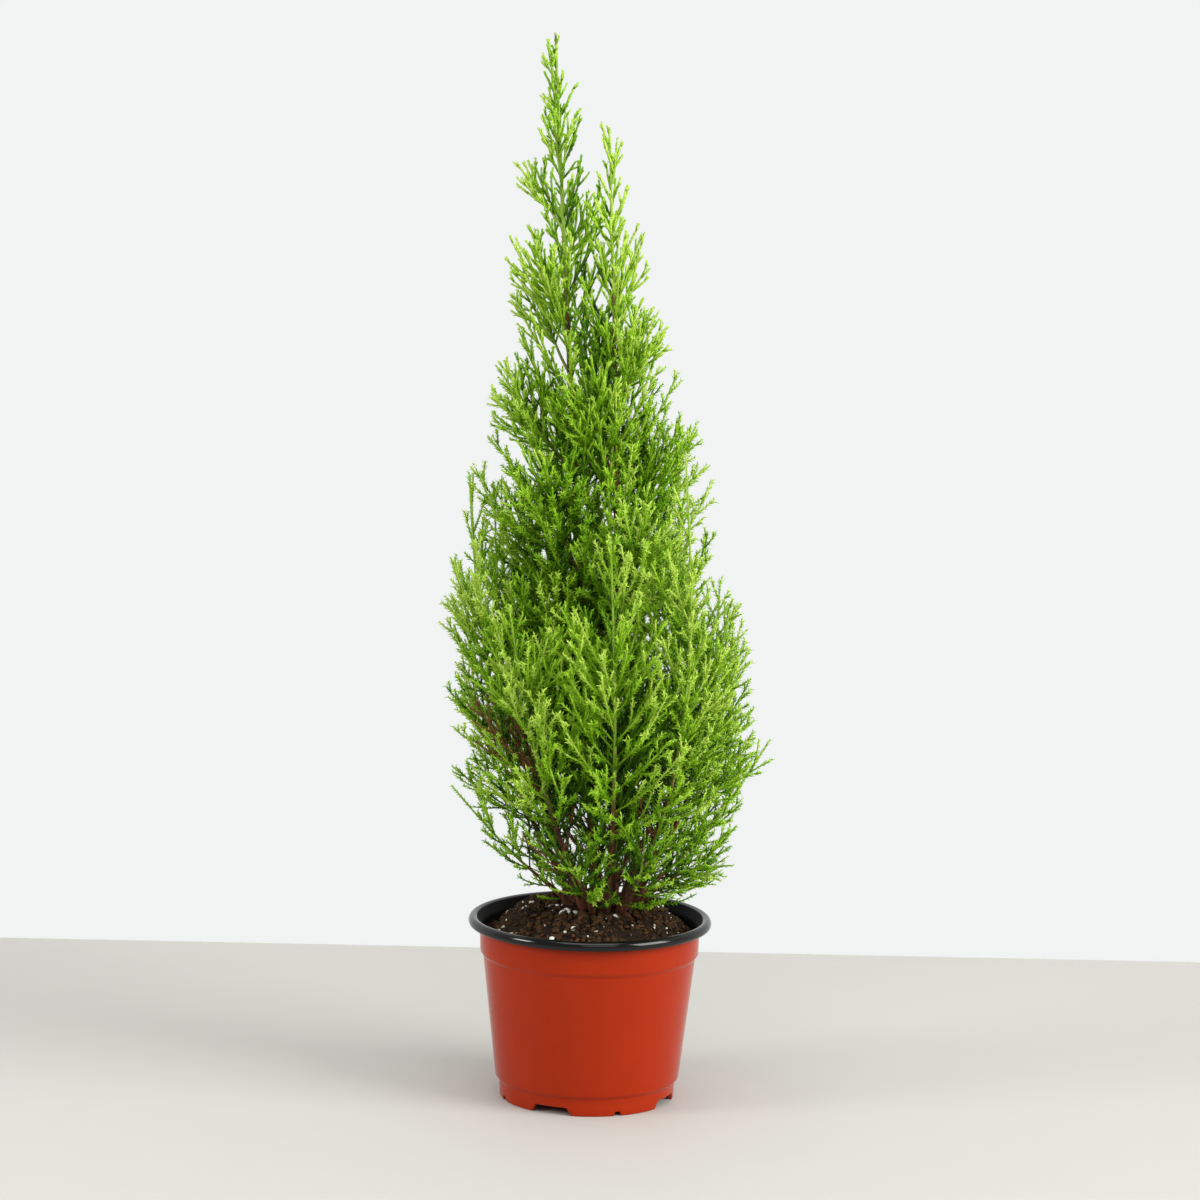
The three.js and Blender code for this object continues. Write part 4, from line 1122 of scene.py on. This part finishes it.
count = len(sprays.length)
every = np.arange(count)
sprays.across = turned_about(sprays.across, sprays.heading, np.radians(SPINE_ROLL) * between((-1, 1), count))
sprays.lift = lifted(sprays.heading, sprays.rise)
fits = np.zeros((len(SHORTER), count), bool)
for i, share in enumerate(SHORTER):
    tried = SimpleNamespace(**vars(sprays) | {"length": share * sprays.length})
    half = share * sprays.width[:, None] / 2 * sprays.across
    spine, side, tip = (on_shoot(tried, every, np.full(count, s)) for s in (SPINE_MARK, SIDE_MARK, 1))
    marks = (spine, tip, side + half, side - half)
    fits[i] = np.all([in_own_space(mark, sprays.owner) for mark in marks], axis=0)
fits &= draw.random(count) > np.interp(sprays.start[:, 2], OPEN_AT, OPENNESS)
fits[0] |= sprays.ends_stem
share = SHORTER[fits.argmax(0)]
sprays.length, sprays.width = sprays.length * share, sprays.width * share
sprays = picked(sprays, fits.any(0))
print(len(sprays.length), "sprays kept of", count)

# %% Spines
ADULT_FROM, ADULT_TO, ADULT_LUCK = 370, 520, 30


def spine_shoots():
    """One shoot for each spray, with the share of adult foliage at its height and a tone of its own."""
    count = len(sprays.length)
    middle = on_shoot(sprays, np.arange(count), np.full(count, 0.5))
    height = middle[:, 2] + ADULT_LUCK * draw.normal(size=count)
    return SimpleNamespace(start=sprays.start, heading=sprays.heading, length=sprays.length, lift=sprays.lift,
                           across=sprays.across, spray=np.arange(count),
                           adult=smooth_step(height, ADULT_FROM, ADULT_TO),
                           tone=draw.normal(size=count), order=np.zeros(count, int))


spines = spine_shoots()
print(len(spines.length), "spines, of which", int((spines.adult > 0.5).sum()), "have adult leaves")

# %% The rule of side branches
LAST_BRANCH, PLACE_LUCK = 0.95, (0.25, 0.75)
PAIR_TURN, WOBBLE, ANGLE_LUCK = 50, 11, 7


def spread_numbers(counts):
    """For each child: the row of its parent, and its own number there."""
    parent = np.repeat(np.arange(len(counts)), counts)
    return parent, np.arange(counts.sum()) - np.repeat(np.cumsum(counts) - counts, counts)


def side_branches(parents, lengths_of, step, first, angles, lift):
    """Alternate children of shoots: at even steps, opened to the left and right of the shoot, and each pair
    turned on round it from the last."""
    counts = np.round(parents.length * (LAST_BRANCH - first) / lerp(*step, parents.adult)).astype(int)
    row, number = spread_numbers(counts)
    count = len(row)
    s = first + (LAST_BRANCH - first) * (number + between(PLACE_LUCK, count)) / counts[row]
    hand = np.where((number + parents.spray[row]) % 2 == 0, 1.0, -1.0)
    tangent = heading_on(parents, row, s)
    normal = unit(np.cross(parents.across[row], tangent))
    angle = lerp(*angles, parents.adult[row]) + between((-ANGLE_LUCK, ANGLE_LUCK), count)
    opened = turned_about(tangent, normal, -hand * np.radians(angle))
    turn = PAIR_TURN * (number // 2) + WOBBLE * draw.normal(size=count)
    heading = turned_about(opened, tangent, np.radians(turn))
    return SimpleNamespace(start=on_shoot(parents, row, s), heading=heading, length=lengths_of(row, s),
                           lift=lifted(heading, between(lift, count)), across=unit(np.cross(heading, normal)),
                           spray=parents.spray[row], adult=parents.adult[row], tone=parents.tone[row],
                           order=parents.order[row] + 1)


print("parents and numbers of three children and two", *spread_numbers(np.array([3, 2])))

# %% Branchlets and side shoots
BRANCHLET = {"step": (6.9, 7.5), "first": 0.1, "angles": (31, 26), "lift": (0.1, 0.26)}
SIDE_SHOOT = {"step": (14, 8.4), "first": 0.25, "angles": (29, 26), "lift": (0.02, 0.1)}
OUTLINE_AT, OUTLINE = (0, 0.15, 0.35, 0.7, 1), (0.55, 0.9, 1, 0.7, 0.35)
BRANCHLET_LENGTH, BRANCHLET_LUCK = 2.6, (0.65, 1.25)
SIDE_SHARE, SIDE_FOOT, SIDE_FALL, LEAST_SIDE = (0.32, 0.52), 1.1, 0.6, 3.6
AHEAD, OUTGROWTH = 2.0, 1.02


def tips_of(group):
    """The far end of each shoot."""
    count = len(group.length)
    return on_shoot(group, np.arange(count), np.ones(count))


def in_crown(points):
    """True inside the crown's outline, or a little way out of it."""
    height = points[:, 2]
    return (crown_share(points) < OUTGROWTH) & (height > CROWN[0, 0]) & (height < CROWN[-1, 0])


def ahead(parents, row, s):
    """The most a child may measure, so that a spray ends in a point: the rest of its parent, and a bit."""
    return (1 - s) * parents.length[row] + AHEAD


def branchlet_length(row, s):
    """Half the spray's width, drawn out because a branchlet leans, times the spray's outline and luck."""
    outline = np.interp(s, OUTLINE_AT, OUTLINE) * between(BRANCHLET_LUCK, len(row))
    return np.minimum(BRANCHLET_LENGTH * sprays.width[row] / 2 * outline, ahead(spines, row, s))


def side_shoot_length(row, s):
    """A share of the branchlet's length, less towards its tip."""
    length = branchlets.length[row] * between(SIDE_SHARE, len(row)) * (SIDE_FOOT - SIDE_FALL * s)
    return np.minimum(length, ahead(branchlets, row, s))


branchlets = side_branches(spines, branchlet_length, **BRANCHLET)
branchlets = picked(branchlets, in_crown(tips_of(branchlets)))
side_shoots = side_branches(branchlets, side_shoot_length, **SIDE_SHOOT)
side_shoots = picked(side_shoots, in_crown(tips_of(side_shoots)) & (side_shoots.length > LEAST_SIDE))
shoots = stacked([spines, branchlets, side_shoots])
tips = tips_of(shoots)
print(len(branchlets.length), "branchlets and", len(side_shoots.length), "side shoots")

# %% [markdown]
# ## Colours of the shoots
# New shoots at the outside are lemon and lime, and older ones further in are darker. The colours also
# hold painted light and shade: shoots deep in the crown and low down are painted darker, where shade falls,
# and the outer shoots, the outer part of each shoot and a hollow half way up are painted lighter, where light
# falls. Low on the left and deep inside, some sprays are dry and brown. A pattern would slide when the pieces
# are joined, so each shoot gets one plain colour out of a short list. Its spray's tone, its place in the crown
# and its order in the spray add up to one number for its growth and for the light and shade painted on it,
# and steps of that number pick the colour.

# %% Plain colours of the foliage
# The darker greens are both older growth and painted shade on shoots deep in the crown and low down; the
# lighter ones are both new growth and painted light on the outer shoots.
TINTS = {"old_needle_green": "#2d4e04", "deep_needle_green": "#4d7a08", "leaf_green": "#78a814",
         "lime_shoot": "#97c12d", "lemon_shoot": "#b0ce50", "dry_needle_brown": "#76502f"}
TINT_STEPS = (0.34, 0.56, 0.8, 1.08)


def needle_skin(name, colour):
    """Waxy needles: a plain colour with a soft satin sheen and the refractive index of leaf wax."""
    skin = start_material(name)
    surface = add_node(skin, "ShaderNodeBsdfPrincipled", {
        "Base Color": linear(colour), "Roughness": 0.55, "IOR": 1.45, "Specular IOR Level": 0.25})
    add_node(skin, "ShaderNodeOutputMaterial", {"Surface": surface.outputs[0]})
    return skin


FOLIAGE = [needle_skin(name, colour) for name, colour in TINTS.items()]
print(len(FOLIAGE), "colours of foliage")

# %% Painted light and shade of each shoot, with the colour of its growth
LEAST_LIGHT, OUTER_LIGHT, OUTER_POWER, MOST_OUTNESS = 0.2, 0.62, 1.8, 1.1
ORDER_LIGHT, ADULT_LIGHT = 0.07, 0.21
TONE_LIGHT, ADULT_EVENNESS, LIGHT_LUCK = 0.15, 0.06, 0.04
LOW_SHADE, SHADE_TO, SHADE_FROM = 0.2, 150, 290
HOLLOW_LIGHT, HOLLOW_HEIGHT, HOLLOW_SPREAD = 0.2, 340, 42

spine_tips = tips_of(sprays)
# Painted light and shade: shoots further out in the crown, and of later orders, are painted lighter, as light
# falls there, and those further in darker, as shade falls there; partly this is the lighter colour of new
# growth.
outness = np.clip((crown_share(tips) + crown_share(spine_tips)[shoots.spray]) / 2, 0, MOST_OUTNESS)
light = LEAST_LIGHT + OUTER_LIGHT * outness ** OUTER_POWER
light = light + ORDER_LIGHT * shoots.order + ADULT_LIGHT * shoots.adult
# Painted light: outer shoots in a hollow half way up the crown are painted lighter against the shade that
# falls there.
light += HOLLOW_LIGHT * outness ** 2 * np.exp(-((tips[:, 2] - HOLLOW_HEIGHT) / HOLLOW_SPREAD) ** 2)
# Painted shade: shoots low on the plant are painted darker.
low = smooth_step(-tips[:, 2], -SHADE_FROM, -SHADE_TO)
light += (TONE_LIGHT - ADULT_EVENNESS * shoots.adult) * shoots.tone - LOW_SHADE * low
light += LIGHT_LUCK * draw.normal(size=len(light))
tint = np.searchsorted(TINT_STEPS, light)
print("light from", light.min().round(2), "to", light.max().round(2))

# %% Dry sprays, and lighter tips: fresh growth and painted light
DRY, DRY_WITHIN = len(TINTS) - 1, 0.93
DRY_PLACE, DRY_SPREAD, DRY_CHANCE = np.array([-62, -35, 222]), np.array([24, 46, 28]), 0.6
STRAY_CHANCE, STRAY_BELOW = 0.02, 210
DRY_INSIDE, DRY_DEPTH, DRY_HEIGHT, DRY_THINNING = 0.4, 0.55, 190, 2.5
FRESH_AND_LIT_FROM = 0.5

spray_middle = sprays.start + 0.5 * sprays.length[:, None] * sprays.heading
dry_place = np.exp(-(((spray_middle - DRY_PLACE) / DRY_SPREAD) ** 2).sum(1))
dry_chance = DRY_CHANCE * dry_place + STRAY_CHANCE * (spray_middle[:, 2] < STRAY_BELOW)
dry_spray = draw.random(len(sprays.length)) < dry_chance
inside = (crown_share(spine_tips) < DRY_DEPTH) & (spine_tips[:, 2] < DRY_HEIGHT)
dry_spray |= inside & (draw.random(len(sprays.length)) < DRY_INSIDE)
dry_spray &= crown_share(spine_tips) < DRY_WITHIN
dry_spray |= sprays.start[:, 2] > BUD_HEIGHT
tint = np.where(dry_spray[shoots.spray] & (shoots.order < 2), DRY, tint)


def towards_tip(tints, s):
    """Tints one step lighter on the outer part of a shoot, for its fresh growth and as painted light, and dry
    ones as they are.
    """
    return np.where((s > FRESH_AND_LIT_FROM) & (tints < DRY - 1), tints + 1, tints)


print("shoots of each tint", np.bincount(tint, minlength=len(TINTS)))

# %% [markdown]
# ## Shoots and needles
# A shoot is a slim three-sided cord that tapers to a blunt tip. High on the plant its leaves are scales that
# lie close to the cord, and lower down they are short needles that stand out like a bottle brush. Each is a
# small three-sided spike with its foot in the cord. The leaves stand in pairs, each pair square to the last,
# as they do on every cypress. Rings and spikes are worked out for all the shoots at once.

# %% Cords of the shoots
CORD_RADIUS = {"young": (0.74, 0.66, 0.6), "adult": (0.82, 0.8, 0.76)}
FINEST, FINE_HEIGHTS = 0.76, (135, 250)
RINGS = (6, 3, 2)
TIP_RING = 0.94
SWELL_AT, SWELL = (0, 0.6, 1), (1, 1.02, 0.72)


def fineness(group):
    """Shoots near the ground are finer: a share of the full thickness, by the height that they start from."""
    return lerp(FINEST, 1, smooth_step(group.start[:, 2], *FINE_HEIGHTS))


def cord_radius(group):
    """Radius of each shoot by its order, between the young value and the adult one, times its fineness."""
    young, adult = np.array(CORD_RADIUS["young"]), np.array(CORD_RADIUS["adult"])
    return fineness(group) * lerp(young[group.order], adult[group.order], group.adult)


def cord_mesh(group, tints, rings):
    """Three points a ring: centre + r (cos u side + sin u upper), with a little swell in r, and a tip."""
    count = len(group.length)
    s = np.append(np.linspace(0, TIP_RING, rings), 1)
    row = np.repeat(np.arange(count), rings + 1)
    centre = on_shoot(group, row, np.tile(s, count)).reshape(count, rings + 1, 3)
    tangent = heading_on(group, row, np.tile(s, count)).reshape(count, rings + 1, 3)[:, :-1]
    side = unit(np.cross(tangent, group.across[:, None]))
    upper = np.cross(tangent, side)
    u = np.radians([0, 120, 240])[:, None]
    radius = cord_radius(group)[:, None] * np.interp(s[:-1], SWELL_AT, SWELL)
    out = np.cos(u) * side[:, :, None] + np.sin(u) * upper[:, :, None]
    ring_points = centre[:, :-1, None] + radius[..., None, None] * out
    points = np.concatenate([ring_points.reshape(count, -1, 3), centre[:, -1:]], axis=1)
    quads = grid_faces(rings, 3)
    last = 3 * (rings - 1)
    cap = np.array([[last, last + 1, 3 * rings], [last + 1, last + 2, 3 * rings], [last + 2, last, 3 * rings],
                    [2, 1, 0]])
    first = (np.arange(count) * (3 * rings + 1))[:, None, None]
    faces = [(quads[None] + first).reshape(-1, 4), (cap[None] + first).reshape(-1, 3)]
    quad_share = np.tile(np.repeat((s[:-2] + s[1:-1]) / 2, 3), count)
    quad_tints = towards_tip(np.repeat(tints, len(quads)), quad_share)
    cap_tints = towards_tip(np.repeat(tints, len(cap)), np.tile([1, 1, 1, 0], count))
    return points.reshape(-1, 3), faces, (quad_tints, cap_tints)


print("cord radius from", cord_radius(shoots).min().round(2), "to", cord_radius(shoots).max().round(2), "mm")

# %% Needles and scales
PAIR_STEP = (1.65, 3.0)
NEEDLE_LENGTH = (2.7, 1.8)
NEEDLE_ANGLE = (50, 13)
NEEDLE_HALF_WIDTH = (0.56, 0.5)
BARE_FOOT, LAST_NEEDLE, NEEDLE_PLACE = (0.22, 0.04, 0.02), 0.985, (0.35, 0.85)
NEEDLE_TURN, NEEDLE_ANGLE_LUCK, NEEDLE_LENGTH_LUCK = 20, (0.8, 1.2), (0.75, 1.25)
NEEDLE_FOOT, NEEDLE_FALL, NEEDLE_DEPTH = 1.08, 0.3, 0.8


def needle_mesh(group, tints):
    """Spikes in pairs along each shoot: two corners across, one below, and an apex out and ahead."""
    bare = np.array(BARE_FOOT)[group.order]
    thinning = np.where(tints == DRY, DRY_THINNING, 1)
    counts = np.maximum((group.length * (1 - bare) / lerp(*PAIR_STEP, group.adult) / thinning).astype(int), 1)
    row, number = spread_numbers(2 * counts)
    count = len(row)
    pair, part = np.divmod(number, 2)
    s = bare[row] + (LAST_NEEDLE - bare[row]) * (pair + between(NEEDLE_PLACE, count)) / counts[row]
    adult = group.adult[row]
    tangent = heading_on(group, row, s)
    side = unit(np.cross(tangent, group.across[row]))
    turn = np.radians(180 * part + 90 * pair + NEEDLE_TURN * draw.normal(size=count))
    out = turned_about(side, tangent, turn)
    sideways = np.cross(tangent, out)
    angle = np.radians(lerp(*NEEDLE_ANGLE, adult) * between(NEEDLE_ANGLE_LUCK, count))[:, None]
    fine = fineness(group)[row]
    luck = between(NEEDLE_LENGTH_LUCK, count)
    length = (fine * lerp(*NEEDLE_LENGTH, adult) * luck * (NEEDLE_FOOT - NEEDLE_FALL * s))[:, None]
    half = (fine * lerp(*NEEDLE_HALF_WIDTH, adult))[:, None]
    foot = on_shoot(group, row, s) + NEEDLE_DEPTH * cord_radius(group)[row][:, None] * out
    apex = foot + length * (np.sin(angle) * out + np.cos(angle) * tangent)
    points = np.stack([foot + half * sideways, foot - half * sideways, foot - half * tangent, apex], 1)
    spike = np.array([[2, 0, 3], [0, 1, 3], [1, 2, 3], [0, 2, 1]])
    faces = (spike[None] + 4 * np.arange(count)[:, None, None]).reshape(-1, 3)
    return points.reshape(-1, 3), [faces], np.repeat(towards_tip(tints[row], s), len(spike))


print("needles from", NEEDLE_LENGTH[1], "to", NEEDLE_LENGTH[0], "mm")

# %% Pieces of foliage
# The owners of each piece's sprays: the plumes by number, and after them the trunk and the second leader
TRUNK_OWNER, LEADER_OWNER = len(plumes), len(plumes) + 1
GROUPS = {"bough_1_2": range(0, 2), "bough_3_4": range(2, 4), "bough_5_6": range(4, 6),
          "bough_7_8": range(6, 8), "low": range(8, 15), "trunk_foot": range(15, 20),
          "trunk_middle": range(20, 24), "trunk_head": [*range(24, 31), TRUNK_OWNER],
          "leader_foot": range(31, 34), "leader_head": [*range(34, 39), LEADER_OWNER]}


def foliage_pieces(name, members):
    """The cords of some plumes as one piece, and their needles as another. Returns how many needle faces."""
    mine = np.isin(sprays.owner[shoots.spray], list(members))
    group, tints = picked(shoots, mine), tint[mine]
    nodes = [plumes[i].name for i in members if i < len(plumes)]
    orders = [group.order == order for order in range(3)]
    cords = [cord_mesh(picked(group, of), tints[of], rings) for of, rings in zip(orders, RINGS)]
    points, faces = joined([cord[:2] for cord in cords])
    cord_tints = np.concatenate([cord[2][kind] for kind in range(2) for cord in cords])
    cord_piece = make_piece(f"shoots_{name}", points, faces, FOLIAGE, cord_tints)
    part_of_plant(cord_piece, "foliage", *nodes)
    points, faces, needle_tints = needle_mesh(group, tints)
    needle_piece = make_piece(f"needles_{name}", points, faces, FOLIAGE, needle_tints, smooth=False)
    part_of_plant(needle_piece, "foliage", *nodes)
    return len(faces[0])


needle_faces = sum(foliage_pieces(name, members) for name, members in GROUPS.items())
print(needle_faces, "faces of needles")

# %% [markdown]
# ## Twigs
# The stem of each plume is a thin woody twig that goes on from its bough, or from the leader that it stands
# on. It is made as the stems are, with its foot sunk in the wood that carries it. All of them are joined into
# one piece.

# %% Twigs of the plumes
TWIG_RADIUS, TWIG_TIP_RADIUS = (2.0, 1.3, 1.2, 1.1), 0.45
TWIG_KINDS = np.cumsum([len(BOUGH_TIPS), len(LOW_BOUGH_TIPS), TRUNK_PLUMES["count"]])
TWIG_ROWS, TWIG_COLUMNS, TWIG_SINK = 30, 8, 2.5
TWIG_GREEN_ALONG, TWIG_GREEN_HEIGHTS = (0.15, 0.5), (420, 500)
TWIG_BARK_SEEDS = range(200, 317, 3)


def twig_radius(i):
    """Radius along a plume's stem: from a root radius for its kind to a slim tip."""
    kind = np.searchsorted(TWIG_KINDS, i, side="right")
    return lambda t: lerp(TWIG_RADIUS[kind], TWIG_TIP_RADIUS, t)


twig_tubes = [bark_tube(plume.path, twig_radius(i), TWIG_ROWS, TWIG_COLUMNS, TWIG_BARK_SEEDS[i],
                        -TWIG_SINK / path_length(plume.path)) for i, plume in enumerate(plumes)]
t = np.linspace(0, 1, TWIG_ROWS)
twig_young = [np.maximum(smooth_step(t, *TWIG_GREEN_ALONG),
                         smooth_step(on_path(plume.path, t)[:, 2], *TWIG_GREEN_HEIGHTS)) for plume in plumes]
twig_young = np.concatenate([tube_young(young, TWIG_COLUMNS) for young in twig_young])
twigs = make_piece("plume_twigs", *joined(twig_tubes), [BARK], young=twig_young)
part_of_plant(twigs, "bark", *[plume.name for plume in plumes])

# %% [markdown]
